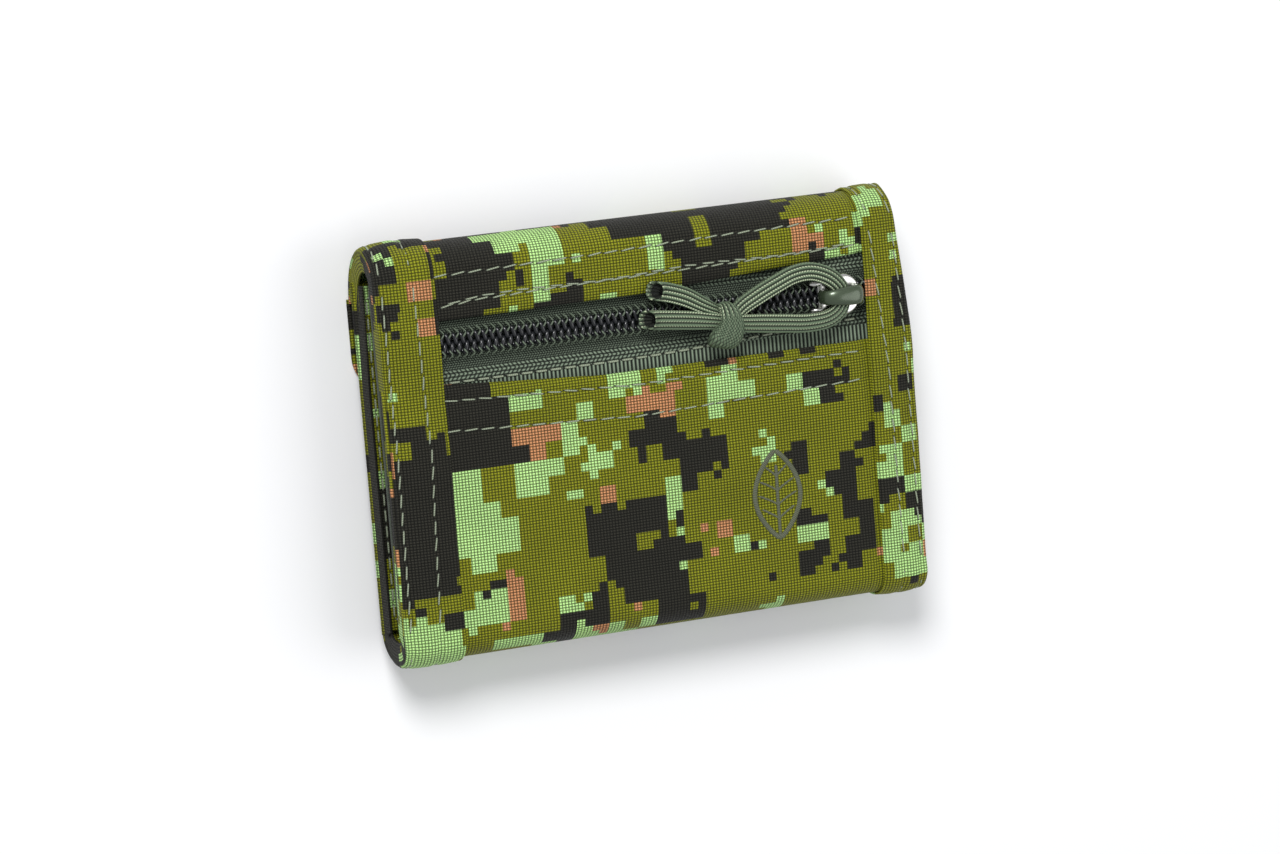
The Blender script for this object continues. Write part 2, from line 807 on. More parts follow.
@dataclass(frozen=True)
class LiningCloth:
    """Thin 210 denier lining: a finer plain weave with a slight shine and soft creases."""

    name: str = "nylon_210d_lining"
    colour: str = "#3E463A"

    def make(self) -> bpy.types.Material:
        """Builds the material.

        Returns:
            The material.
        """
        r = Recipe(self.name)
        u, v = r.flat_position()
        weave = r.plain_weave(u, v, 0.45, 0.45)
        place = r.add("CombineXYZ", {0: u, 1: v})
        crease = r.add("TexNoise", {"Vector": place, "Scale": 0.12, "Detail": 4.0,
                                              "Distortion": 0.6}, noise_dimensions="2D")
        colour = r.shaded(r.shaded(linear(self.colour), weave, 0.6, 1.1),
                          crease.outputs[0], 0.8, 1.2)
        fold = r.add("Bump", {"Height": crease.outputs[0], "Distance": 0.8 * MM})
        bump = r.add("Bump", {"Height": weave, "Distance": 0.07 * MM,
                                        "Normal": fold})
        return r.finish(Base_Color=colour, Roughness=0.55, Normal=bump)


@dataclass(frozen=True)
class FastenerTape:
    """Hook-and-loop tape. Hooks stand in rows 1.2 mm apart; loops are a tangled nap."""

    name: str
    hooks: bool
    colour: str = "#33392E"

    def make(self) -> bpy.types.Material:
        """Builds the material.

        Returns:
            The material.
        """
        r = Recipe(self.name)
        u, v = r.flat_position()
        place = r.add("CombineXYZ", {0: u, 1: v})
        if self.hooks:
            cells = r.add("TexVoronoi", {"Vector": place, "Scale": 0.85,
                                                   "Randomness": 0.25}, voronoi_dimensions="2D")
            height = r.add("MapRange", {0: cells.outputs["Distance"], 1: 0.5,
                                                  2: 0.1})
        else:
            nap = r.add("TexNoise", {"Vector": place, "Scale": 1.6, "Detail": 6.0,
                                               "Distortion": 2.5}, noise_dimensions="2D")
            height = nap.outputs[0]
        colour = r.shaded(linear(self.colour), height, 0.5, 1.5)
        return r.finish(Base_Color=colour, Roughness=0.9, Sheen_Weight=0.4,
                        Normal=r.add("Bump", {"Height": height, "Distance": 0.6 * MM}))


@dataclass(frozen=True)
class ClearFilm:
    """Calendered soft PVC: a clear sheet with a slightly wavy, glossy face."""

    name: str = "clear_pvc_film"

    def make(self) -> bpy.types.Material:
        """Builds the material.

        Returns:
            The material.
        """
        r = Recipe(self.name)
        where = r.add("TexCoord")
        wave = r.add("TexNoise", {"Vector": where.outputs["Object"], "Scale": 60.0})
        return r.finish(Base_Color=linear("#DDE2E0"), Roughness=0.12, Alpha=0.32, IOR=1.53,
                        Normal=r.add("Bump", {"Height": wave.outputs[0], "Distance": 0.5 * MM}))


@dataclass
class Finishes:
    """Every material, made once."""

    nylon: bpy.types.Material = field(default_factory=lambda: PrintedNylon().make())
    thread: bpy.types.Material = field(default_factory=lambda: SewingThread().make())
    coil_thread: bpy.types.Material = field(default_factory=lambda: SewingThread(
        "polyester_coil_thread", "#6C7966", 0.6, 0.4, 0.9).make())
    embroidery: bpy.types.Material = field(default_factory=lambda: SewingThread(
        "rayon_embroidery_thread", "#5C614B", 0.45, 0.42, 1e4).make())
    tape: bpy.types.Material = field(default_factory=lambda: ZipTape().make())
    coil: bpy.types.Material = field(default_factory=lambda: CoilNylon().make())
    nickel: bpy.types.Material = field(default_factory=lambda: PlatedZinc().make())
    enamel: bpy.types.Material = field(default_factory=lambda: StovedEnamel().make())
    cord: bpy.types.Material = field(default_factory=lambda: BraidedSheath().make())
    lining: bpy.types.Material = field(default_factory=lambda: LiningCloth().make())
    hooks: bpy.types.Material = field(default_factory=lambda: FastenerTape(
        "hook_tape", True).make())
    loops: bpy.types.Material = field(default_factory=lambda: FastenerTape(
        "loop_tape", False).make())
    film: bpy.types.Material = field(default_factory=lambda: ClearFilm().make())


# ---- printed pattern ---------------------------------------------------------------------


@dataclass(frozen=True)
class Mass:
    """A broad area where one colour gathers: its middle and its reach, in millimetres."""

    colour: Print
    x: float
    v: float
    wide: float
    high: float
    strength: float = 0.34


@dataclass
class Pattern:
    """Square-edged print of four colours, made up from noise.

    Each colour has its own smooth noise, read at the middle of a printed square or, where the
    square is split, of a quarter of it. A mass adds a bell curve to its colour's noise and takes
    half as much from the others, and a square takes the colour whose noise passes its level by
    the most. About this share of the squares stays whole: whole.
    """

    square: float = 3.9
    masses: Sequence[Mass] = ()
    charcoal: float = 0.59
    green: float = 0.65
    salmon: float = 0.76
    whole: float = 0.74
    seed: int = 1

    def middles(self, uv: Array) -> tuple[Array, Array]:
        """The middle of the printed square that each position lies in.

        Args:
            uv: positions on the cloth, n by 2.

        Returns:
            The middles, counted in squares: across and up.
        """
        i, j = np.floor(uv[:, 0] / self.square), np.floor(uv[:, 1] / self.square)
        split = hashed(i, j, self.seed + 5) > self.whole
        half_i = np.floor(uv[:, 0] / self.square * 2)
        half_j = np.floor(uv[:, 1] / self.square * 2)
        x = np.where(split, half_i / 2 + 0.25, i + 0.5)
        y = np.where(split, half_j / 2 + 0.25, j + 0.5)
        return x, y

    def numbers(self, uv: Array) -> Array:
        """The colour number at each position.

        Args:
            uv: positions on the cloth, n by 2.

        Returns:
            A colour number for each.
        """
        x, y = self.middles(uv)
        out = np.full(len(uv), int(Print.OLIVE))
        best = np.zeros(len(uv))
        for colour, level, size in ((Print.GREEN, self.green, 3.0),
                                    (Print.CHARCOAL, self.charcoal, 3.6),
                                    (Print.SALMON, self.salmon, 2.4)):
            n = self.seed * 10 + int(colour)
            value = (0.58 * value_noise(x / size, y / (size * 0.8), n)
                     + 0.42 * value_noise(x / size * 2.3, y / size * 2.3, n + 3)
                     + 0.22 * (hashed(x, y, n + 4) - 0.5))
            for mass in self.masses:
                bell = np.exp(-((x * self.square - mass.x) / mass.wide) ** 2
                              - ((y * self.square - mass.v) / mass.high) ** 2)
                share = 1.0 if mass.colour is colour else -0.5
                value = value + share * mass.strength * bell
            over = value - level
            out[over > best] = int(colour)
            best = np.maximum(best, over)
        return out


FRONT_MASSES = (
    Mass(Print.CHARCOAL, -7.0, -30.0, 13.0, 14.0, 0.40),
    Mass(Print.CHARCOAL, 47.0, -26.0, 5.0, 9.0),
    Mass(Print.CHARCOAL, -40.0, 7.0, 12.0, 5.0, 0.4),
    Mass(Print.CHARCOAL, -44.0, 36.0, 12.0, 7.0),
    Mass(Print.CHARCOAL, 10.0, 49.0, 30.0, 6.0),
    Mass(Print.GREEN, -45.0, -22.0, 6.0, 17.0, 0.42),
    Mass(Print.GREEN, 13.0, 7.0, 7.0, 5.0, 0.6),
    Mass(Print.GREEN, 1.0, 38.0, 6.0, 5.0, 0.4),
    Mass(Print.GREEN, -29.0, 48.0, 9.0, 5.0, 0.4),
    Mass(Print.SALMON, 1.0, 6.0, 9.0, 5.0, 0.6),
    Mass(Print.SALMON, -28.0, 1.0, 6.0, 3.0, 0.4),
    Mass(Print.OLIVE, 24.0, -22.0, 12.0, 16.0, 0.3),
    Mass(Print.OLIVE, -28.0, -22.0, 9.0, 14.0, 0.4))
LEFT_MASSES = (
    Mass(Print.CHARCOAL, -57.0, -12.0, 12.0, 24.0, 0.5),
    Mass(Print.CHARCOAL, -57.0, 56.0, 12.0, 12.0),
    Mass(Print.GREEN, -58.0, -44.0, 9.0, 7.0, 0.6),
    Mass(Print.OLIVE, -57.0, 26.0, 12.0, 9.0, 0.3),
    Mass(Print.SALMON, -54.0, 31.0, 3.0, 6.0, 0.5),
    Mass(Print.CHARCOAL, -66.0, -110.0, 14.0, 40.0, 1.0))
RIGHT_MASSES = (
    Mass(Print.GREEN, 56.0, 36.0, 6.0, 9.0, 0.2),
    Mass(Print.OLIVE, 58.0, -20.0, 8.0, 24.0, 0.15))


# ---- the cloth strip ---------------------------------------------------------------------


@dataclass
class Strip:
    """The outer face of the wallet as one strip of cloth.

    The path in (y, z) is the flap, the top fold, the front, the bottom fold and the back. The
    strip's second coordinate v equals y on the front and keeps its scale over both folds.
    """

    top: tuple = ((34.1, 0.9), (49.4, 2.2), (50.5, 22.0), (38.6, 22.0))
    bottom: tuple = ((-40.6, 22.0), (-49.2, 22.0), (-48.8, 4.2), (-40.9, 3.8))
    flap_end: float = 13.0
    back_end: float = 37.6
    crown: float = 0.45
    edge_drop: float = 1.0
    furrow: float = 0.24
    fold_steps: int = 59
    flat_steps: int = 29

    def __post_init__(self) -> None:
        """Lays the path out as points, with the cubic Bezier formula at each fold."""
        t = np.linspace(0.0, 1.0, self.fold_steps + 1)[:, None]
        ends = []
        for fold in (self.top, self.bottom):
            a, b, c, d = np.asarray(fold)
            ends.append(a * (1 - t) ** 3 + 3 * b * t * (1 - t) ** 2
                        + 3 * c * t**2 * (1 - t) + d * t**3)
        flat = np.linspace(0.0, 1.0, self.flat_steps + 1)[:, None]
        flap = np.array([[self.flap_end, 0.9]]) * (1 - flat) + ends[0][:1] * flat
        front = ends[0][-1:] * (1 - flat) + ends[1][:1] * flat
        back = ends[1][-1:] * (1 - flat) + np.array([[self.back_end, 3.8]]) * flat
        line = np.vstack([flap[:-1], ends[0][:-1], front[:-1], ends[1][:-1], back])
        s = along(line)
        self.line = line
        panel = self.flat_steps + self.fold_steps
        self.v = self.top[3][0] - (s - s[panel])
        tangent = unit(np.gradient(line, axis=0))
        self.normal = np.stack([tangent[:, 1], -tangent[:, 0]], axis=1)
        self.v_top, self.v_bottom = self.v[self.flat_steps], self.v[2 * panel]
        self.v_back = self.v[-1]

    def rows(self) -> dict[str, tuple[Sequence[float], Sequence[float]]]:
        """The sewn rows that run across the front: positions in x and in v."""
        return {"r1": ((-50, -10, 20, 52), (39.7, 40.3, 41.0, 41.5)),
                "r2": ((-50, -40, 0, 52), (32.7, 33.7, 34.4, 35.0)),
                "r3": ((-50, -5, 52), (12.0, 10.1, 10.9)),
                "r4": ((-50, -5, 52), (5.3, 3.0, 4.4))}

    def lie(self, x: Array, v: Array) -> Array:
        """How far the cloth lies off the plain path.

        It is crowned as 1 - (x/52)^2, falls at both sides as the tenth power of x/63.5, swells
        and sinks gently with noise, and sinks along each sewn row as a bell curve with small
        puckers beside it.

        Args:
            x: position across the wallet.
            v: position along the strip.

        Returns:
            Distance out from the path.
        """
        inside = smoothstep((v + 47.0) / 9.0) * smoothstep((54.0 - v) / 9.0)
        wave = (value_noise(x / 17.0 + 3.1, v / 13.0, 31) - 0.5) * 0.7
        wave = wave + (value_noise(x / 6.5, v / 5.0 + 9.0, 32) - 0.5) * 0.22
        out = inside * (self.crown * (1 - (x / 52.0) ** 2).clip(-0.2, 1.0) + wave)
        out = out - self.edge_drop * np.abs(x / 63.5) ** 10 * inside
        # it is drawn down against the right band's folded edge
        out = out - inside * 0.55 * np.exp(-((x - 51.6) / 1.0) ** 2)
        for place, level in self.rows().values():
            away = v - np.interp(x, place, level)
            sewn = smoothstep((x + 52.0) / 3.0) * smoothstep((54.0 - x) / 3.0)
            out = out - sewn * self.furrow * np.exp(-(away / 0.75) ** 2)
            out = out + sewn * 0.07 * np.sin(x * 2 * np.pi / 4.0) * np.exp(-(away / 2.2) ** 2)
        return out

    def at(self, x: Array, v: Array, h: Array | float = 0.0) -> Array:
        """Points at a height above the cloth's outer face.

        Args:
            x: position across the wallet.
            v: position along the strip.
            h: height along the outward normal.

        Returns:
            Points, with a last axis of 3.
        """
        x, v, h = np.broadcast_arrays(x, v, h)
        lift = h + self.lie(x, v)
        order = slice(None, None, -1)
        y, z, ny, nz = (np.interp(v, self.v[order], column[order]) for column in (
            self.line[:, 0], self.line[:, 1], self.normal[:, 0], self.normal[:, 1]))
        size = np.hypot(ny, nz)
        return np.stack([x, y + ny / size * lift, z + nz / size * lift], axis=-1)

    def facing(self, x: Array, v: Array, h: Array | float = 0.0) -> Array:
        """Outward unit normals, from small steps each way.

        Args:
            x: position across the wallet.
            v: position along the strip.
            h: height above the cloth's outer face.

        Returns:
            One normal for each position.
        """
        along_x = self.at(x + 0.05, v, h) - self.at(x - 0.05, v, h)
        along_v = self.at(x, v + 0.05, h) - self.at(x, v - 0.05, h)
        return unit(np.cross(along_x, along_v))

    def stitches(self, xs: Sequence[float], vs: Sequence[float], h: float = 0.05,
                 pitch: float = 4.0, length: float = 3.9, width: float = 0.36,
                 slant: float = 0.10, phase: float = 0.0, height: Any = None) -> Surface:
        """A row of stitches along a line on the strip.

        Args:
            xs: the line's positions across.
            vs: the line's positions along the strip.
            h: height of the cloth there.
            pitch: distance from one stitch to the next.
            length: seen length of a stitch.
            width: width of the thread.
            slant: turn of each stitch off the line, in radians.
            phase: where the first one starts, in millimetres.
            height: a function of (x, v) that is used instead of h.

        Returns:
            The row as one surface.
        """
        line = np.stack([xs, vs], axis=1).astype(float)
        middle = np.arange(phase + pitch / 2, along(line)[-1] - length / 2, pitch)
        wobble = (hashed(np.arange(len(middle)), middle * 0 + pitch, 3) - 0.5)
        middle = middle + wobble * 0.35
        centre = at_lengths(line, middle)
        way = unit(at_lengths(line, middle + 0.5) - centre)
        turn = slant + wobble * 0.08
        way = np.stack([way[:, 0] * np.cos(turn) - way[:, 1] * np.sin(turn),
                        way[:, 0] * np.sin(turn) + way[:, 1] * np.cos(turn)], axis=1)
        a, b = centre - way * length / 2, centre + way * length / 2
        ends = []
        for p in (a, b):
            up = height(p[:, 0], p[:, 1]) if height else h
            ends.append(self.at(p[:, 0], p[:, 1], up))
        return thread_bits(*ends, self.facing(centre[:, 0], centre[:, 1]), width)


@dataclass
class OuterCloth:
    """The printed cloth of the front: a lower panel and an upper band, each with its fold."""

    strip: Strip
    looks: Finishes
    thick: float = 1.4
    half: float = 62.9
    step: float = 0.65
    low_edge: tuple = ((-62.9, -50.0, -13.0, 52.3, 62.9), (15.1, 15.1, 12.7, 12.7, 12.7))
    high_edge: tuple = ((-62.9, -50.0, -2.0, 52.3, 62.9), (30.2, 30.2, 30.6, 33.6, 33.6))
    pattern: Pattern = field(default_factory=lambda: Pattern(
        masses=FRONT_MASSES, seed=3))

    def across(self) -> Array:
        """Positions across the wallet, on the print's grid."""
        n = int(self.half / self.step)
        return np.concatenate([[-self.half], np.arange(-n, n + 1) * self.step, [self.half]])

    def panel(self, v_edge: Array, v_end: float) -> Surface:
        """Cloth from the zip's edge to the far end of a fold.

        The rows keep to the print's grid, and the last eight spread evenly to the edge.

        Args:
            v_edge: the zip's edge at each position across.
            v_end: the far end of the fold.

        Returns:
            The closed layer of cloth.
        """
        x = self.across()
        sign = 1.0 if v_end > v_edge.max() else -1.0
        first = np.ceil((v_edge.max() if sign > 0 else -v_edge.min()) / self.step) + 5
        far = np.arange(first, abs(v_end) / self.step) * self.step
        v_rows = np.concatenate([far, [abs(v_end)]]) * sign
        t = np.linspace(0.0, 1.0, 9)[:-1]
        near = v_edge[:, None] * (1 - t) + v_rows[0] * t
        v = np.concatenate([near, np.broadcast_to(v_rows, (len(x), len(v_rows)))], axis=1)
        xx = np.broadcast_to(x[:, None], v.shape)
        drawn = 3.0 * smoothstep((v - 8.0) / 40.0) * smoothstep((64.0 - v) / 12.0)
        xx = xx - drawn * smoothstep((xx - 50.0) / 12.9)
        # the last 0.8 mm before the edge turns down, as folded cloth does
        turn = 0.35 * np.exp(-np.abs(v - v_edge[:, None]) / 0.8)
        grid = self.strip.at(xx, v, -turn)
        return cloth(grid, self.thick, np.stack([xx, v], axis=2), flip=sign < 0)

    def build(self) -> None:
        """Makes both panels and their sewn rows."""
        x = self.across()
        low = np.interp(x, *self.low_edge)
        high = np.interp(x, *self.high_edge)
        lower = self.panel(low, self.strip.v_bottom)
        upper = self.panel(high, self.strip.v_top)
        low_piece = make("lower_panel_cloth", lower, self.looks.nylon, None,
                         ["front_lower_panel", "bottom_fold"],
                         self.pattern.numbers(lower.face_uv()))
        high_piece = make("upper_band_cloth", upper, self.looks.nylon, None,
                          ["front_upper_band", "top_fold"],
                          self.pattern.numbers(upper.face_uv()))
        for piece, name, length in ((low_piece, Body.BACK, self.strip.v_bottom - 12.7),
                                    (high_piece, Body.FLAP, self.strip.v_top - 32.0)):
            fold_over(piece)
        for name, options in (("r1", {}), ("r2", {"phase": 1.0}), ("r3", {"slant": -0.08}),
                              ("r4", {"slant": 0.06})):
            xs, vs = self.strip.rows()[name]
            line_x = np.linspace(-50.3, 51.6, 120)
            row = self.strip.stitches(line_x, np.interp(line_x, xs, vs), **options)
            parts = [row]
            if name == "r2":
                parts.append(self.strip.stitches(
                    line_x, np.interp(line_x, xs, vs) + 0.5 + 0.3 * np.sin(line_x / 7.0),
                    phase=2.6, slant=-0.05, length=3.6))
            make(f"stitches_{name}", Surface.join(parts), self.looks.thread, Body.FRONT)


def fold_over(piece: bpy.types.Object) -> None:
    """Lets a piece bend from the front panel to the back panel or the closing flap.

    Args:
        piece: the piece.
    """
    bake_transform(piece)


@dataclass
class SideBand:
    """A binding band down one side: it lies on the cloth and rolls over the wallet's side.

    The section runs from the folded inner edge outwards, turns down round a quarter of a circle
    and goes down the side. It is carried along the strip.
    """

    strip: Strip
    looks: Finishes
    left: bool
    inner: float
    inner_row: tuple
    outer_row: tuple
    pattern: Pattern
    thick: float = 0.6
    height: float = 0.72
    round_off: float = 1.3
    front_depth: float = 5.0
    fold_depth: float = 4.4
    back_depth: float = 4.4

    def edge(self, v: Array) -> Array:
        """Half width of the wallet along the strip: the right side draws in near the top.

        Args:
            v: position along the strip.

        Returns:
            Half width at each position.
        """
        if self.left:
            return 63.4 - 0.5 * np.sin((v + 40.0) / 80.0 * np.pi).clip(0, 1)
        return 63.4 - 2.6 * smoothstep((v - 8.0) / 40.0) * smoothstep((60.0 - v) / 12.0)

    def depth(self, v: Array) -> Array:
        """How far the band comes down the side.

        Args:
            v: position along the strip.

        Returns:
            The depth at each position.
        """
        top = smoothstep((v - 35.0) / 6.0)
        low = smoothstep((-37.0 - v) / 6.0)
        back = smoothstep((self.strip.v_bottom - v) / 4.0)
        depth = self.front_depth * (1 - top) * (1 - low) + self.fold_depth * (top + low)
        return depth * (1 - back) + self.back_depth * back

    def section(self, v: Array) -> tuple[Array, Array, Array]:
        """Positions across, heights and pattern positions of the section at each v.

        Args:
            v: position along the strip.

        Returns:
            Positions across, heights and pattern positions, one row for each v.
        """
        r = self.round_off
        edge = self.edge(v)[:, None]
        depth = self.depth(v)[:, None]
        flat = abs(self.inner) + (edge - r - abs(self.inner)) * np.linspace(0, 1, 20)[None]
        a = np.linspace(0, np.pi / 2, 8)[None, 1:]
        side = np.linspace(0, 1, 9)[None, 1:]
        across = np.concatenate([flat, edge - r + r * np.sin(a) + 0 * edge,
                                 edge - 0.4 * side**2 + 0 * edge], axis=1)
        h = np.concatenate([flat * 0 + self.height, self.height - r * (1 - np.cos(a))
                            + 0 * edge, self.height - r - depth * side], axis=1)
        girth = np.concatenate([0 * edge, np.cumsum(np.hypot(
            np.diff(across, axis=1), np.diff(h, axis=1)), axis=1)], axis=1)
        return across, h, abs(self.inner) + girth

    def puff(self, across: Array, v: Array) -> Array:
        """The band's own relief: furrows at both sewn rows and a slight swelling between.

        Args:
            across: positions across the section.
            v: position along the strip of each row.

        Returns:
            The height of the relief.
        """
        out = np.zeros_like(across)
        for place, level in (self.inner_row, self.outer_row):
            away = across - np.interp(v, place, np.abs(level))[:, None]
            out = out - 0.30 * np.exp(-(away / 0.8) ** 2)
            out = out + 0.06 * np.sin(v * 2 * np.pi / 4.0)[:, None] * np.exp(
                -(away / 2.0) ** 2)
        rise = (across - abs(self.inner)) / 12.0
        wave = value_noise(across / 7.0 + 5.0 * self.left, np.broadcast_to(
            v[:, None] / 9.0, across.shape), 44) - 0.5
        return out + 0.28 * np.sin(np.pi * rise.clip(0, 1)) + 0.3 * wave

    def run(self, name: str, v_from: float, v_to: float, replaces: Sequence[str],
            body: Body, folded: bool = False) -> bpy.types.Object:
        """One stretch of the band.

        Args:
            name: the piece's name.
            v_from: where it starts on the strip.
            v_to: where it ends.
            replaces: the CAD nodes it stands for.
            body: the body it rides on, or the body beyond the fold.
            folded: whether it crosses a fold.

        Returns:
            The piece.
        """
        sign = -1.0 if self.left else 1.0
        v = np.linspace(v_from, v_to, max(int(abs(v_to - v_from) / 0.65), 8) + 1)
        across, h, girth = self.section(v)
        calm = 1.0 if body is Body.FRONT or folded else 0.0
        top = smoothstep((h - (self.height - self.round_off)) / self.round_off)
        h = h + self.puff(across, v) * top * calm
        # the roll hangs straight down from the side, so the cloth's own lie stops at the edge
        grid = self.strip.at(sign * across.clip(0, 62.5), v[:, None], h)
        grid[..., 0] = sign * across
        uv = np.stack([sign * girth, np.broadcast_to(v[:, None], girth.shape)], axis=2)
        forward = (v_to > v_from) == self.left
        shape = cloth(grid, self.thick, uv, flip=not forward)
        piece = make(name, shape, self.looks.nylon, None if folded else body, replaces,
                     self.pattern.numbers(shape.face_uv()))
        if folded:
            fold_over(piece)
        return piece

    def seam(self, name: str, v_from: float, v_to: float, body: Body,
             folded: bool = False) -> None:
        """The two sewn rows on one stretch of the band.

        Args:
            name: the piece's name.
            v_from: where it starts on the strip.
            v_to: where it ends.
            body: the body it rides on, or the body beyond the fold.
            folded: whether it crosses a fold.
        """
        sign = -1.0 if self.left else 1.0
        v = np.linspace(v_from, v_to, 80)

        def height(x: Array, at_v: Array) -> Array:
            """The band's height on the strip at a stitch."""
            relief = np.diagonal(self.puff(np.broadcast_to(np.abs(x)[None], (len(x),) * 2),
                                           at_v))
            return self.height + (relief if body is Body.FRONT or folded else 0.0) + 0.02

        rows = [self.strip.stitches(sign * np.interp(v, place, np.abs(level)), v,
                                    slant=0.10 * sign, phase=k * 1.3, height=height)
                for k, (place, level) in enumerate((self.inner_row, self.outer_row))]
        piece = make(name, Surface.join(rows), self.looks.thread, None if folded else body)
        if folded:
            fold_over(piece)

    def build(self) -> None:
        """Makes every stretch of the band and its seams."""
        side, s = "left" if self.left else "right", self.strip
        high, low, lap, short = s.top[3][0], s.bottom[0][0], 0.2, 1.0
        stretches = (
            ("front", "front", high + lap, low - lap, Body.FRONT, False),
            ("over_top", "top", s.v_top, high, Body.FLAP, True),
            ("under_bottom", "bottom", low, s.v_bottom, Body.BACK, True),
            ("back", "back", s.v_bottom - lap, s.v_back, Body.BACK, False))
        for name, node, v_from, v_to, body, folded in stretches:
            self.run(f"band_{side}_{name}", v_from, v_to, [f"band_{node}_{side}"], body, folded)
        seams = (("front", high, low, Body.FRONT, False),
                 ("over_top", s.v_top - short, high, Body.FLAP, True),
                 ("under_bottom", low, s.v_bottom + short, Body.BACK, True),
                 ("back", s.v_bottom - short, s.v_back + short, Body.BACK, False))
        for name, v_from, v_to, body, folded in seams:
            self.seam(f"seam_{side}_{name}", v_from, v_to, body, folded)


# ---- the zip -----------------------------------------------------------------------------


@dataclass
class Zip:
    """A nylon coil zip with a chain 6 mm wide: two tapes, two coils, their sewing and stops."""

    looks: Finishes
    middle: float = 24.4
    start: float = -51.5
    end: float = 53.5
    pitch: float = 1.7
    filament: float = 0.40
    coil_z: float = 21.0
    tape_z: float = 19.8
    tape_metres: float = 0.118

    def coil(self, side: float) -> Surface:
        """One coil: a flattened helix whose turns lie across the zip.

        x advances one pitch a turn, y is 1.05 + 1.2 cos a from the middle and z rises and
        falls by 0.6 sin a. The other coil lies 0.45 of a pitch along, so the turns mesh.

        Args:
            side: 1 for the upper coil and -1 for the lower one.

        Returns:
            The coil.
        """
        turns = (self.end - self.start) / self.pitch
        a = np.arange(0.0, turns, 1 / 14.0) * 2 * np.pi
        shift = 0.0 if side > 0 else self.pitch / 2
        path = np.stack([self.start + shift * 0.9 + a / (2 * np.pi) * self.pitch,
                         self.middle + side * (1.05 + 1.2 * np.cos(a)),
                         self.coil_z + 0.6 * np.sin(a)], axis=1)
        outward = np.stack([0 * a, side * np.cos(a), np.sin(a)], axis=1)
        return tube(path, outward, oval(2 * self.filament + 0.15, 2 * self.filament - 0.05, 8))

    def sewing(self, side: float) -> Surface:
        """The chain stitches that hold a coil: two slanting threads for each turn.

        Args:
            side: 1 for the upper coil and -1 for the lower one.

        Returns:
            The threads.
        """
        x = np.arange(self.start + 0.5, self.end - 1.5, self.pitch)
        y0 = self.middle + side * 1.35
        y1, y2 = self.middle + side * 2.35, self.middle + side * 3.45
        bits = []
        for (xa, ya), (xb, yb) in (((0.0, y0), (0.75, y1)), ((0.75, y1), (0.05, y2))):
            a = np.stack([x + xa, 0 * x + ya, 0 * x + self.coil_z + 0.98], axis=1)
            b = np.stack([x + xb, 0 * x + yb, 0 * x + self.coil_z
                          + (0.92 if yb == y1 else -0.55)], axis=1)
            bits.append(thread_bits(a, b, np.broadcast_to([0.0, side * 0.35, 0.94],
                                                          a.shape), 0.38))
        return Surface.join(bits)

    def tape(self, near: float, far: float, thick: float = 0.6) -> Surface:
        """One tape, with ribs across its outer edge.

        The height is a half wave of 0.22 mm for each 0.95 mm along the tape, past a line about
        8.6 mm from the middle, on a gentle wave along the tape.

        Args:
            near: y of the tape's edge under the coil.
            far: y of its other edge.
            thick: its thickness.

        Returns:
            The tape.
        """
        side = np.sign(far - self.middle)
        x = np.arange(-59.0, 59.01, 0.2375)
        reach = np.linspace(abs(near - self.middle), abs(far - self.middle), 44)
        xx, rr = np.meshgrid(x, reach, indexing="ij")
        rib = 0.22 * np.abs(np.sin(np.pi * xx / 0.95)) * smoothstep(
            (rr + 0.014 * xx - 8.5) / 0.3)
        wave = 0.18 * (value_noise(xx / 14.0, rr / 5.0, 71) - 0.5)
        # the tape rises to the coil and hangs a little between the coil and the sewn edge
        z = self.tape_z + rib + wave - 0.25 * np.sin(np.pi * (rr / 12.0).clip(0, 1))
        grid = np.stack([xx, self.middle + side * rr, z], axis=2)
        return cloth(grid, thick, np.stack([xx, rr], axis=2), flip=side < 0)

    def stop(self, x: float) -> Surface:
        """An end stop: a small rounded block of fused nylon across both coils.

        Args:
            x: where its middle lies along the zip.

        Returns:
            The stop.
        """
        y = np.linspace(-2.8, 2.8, 15)
        path = np.stack([0 * y + x, self.middle + y, self.coil_z + 0 * y + 0.1
                         - 0.25 * (y / 2.8) ** 4], axis=1)
        size = (1.0 - 0.35 * np.abs(y / 2.8) ** 6)[:, None, None]
        return tube(path, upward(path), oval(2.0, 1.9, 16, 3.5)[None] * size)

    def build(self) -> None:
        """Makes the tapes, coils, sewing and stops."""
        z = self.looks
        for name, near, far, side in (("upper", 25.2, 36.5, 1.0), ("lower", 23.6, 9.0, -1.0)):
            tape = make(f"tape_{name}", self.tape(near, far), z.tape, Body.FRONT,
                        [f"zip_tape_{name}"])
            make(f"coil_{name}", self.coil(side), z.coil, Body.FRONT, [f"zip_coil_{name}"])
            make(f"coil_sewing_{name}", self.sewing(side), z.coil_thread, Body.FRONT)
        x = np.linspace(-48.0, 51.0, 60)
        line = np.stack([x, 15.6 + 2.6 * smoothstep((x + 10) / 70.0)], axis=1)
        middle = np.arange(1.5, along(line)[-1] - 1.5, 3.4)
        ends = [np.column_stack([at_lengths(line, middle + d), 0 * middle + self.tape_z + 0.05])
                for d in (-1.65, 1.65)]
        make("tape_seam", thread_bits(*ends, upward(ends[0]), 0.5), z.thread, Body.FRONT)
        make("stop_left", self.stop(-53.0), z.coil, Body.FRONT, ["zip_stop_left"])
        make("stop_right", self.stop(55.0), z.coil, Body.FRONT, ["zip_stop_right"])


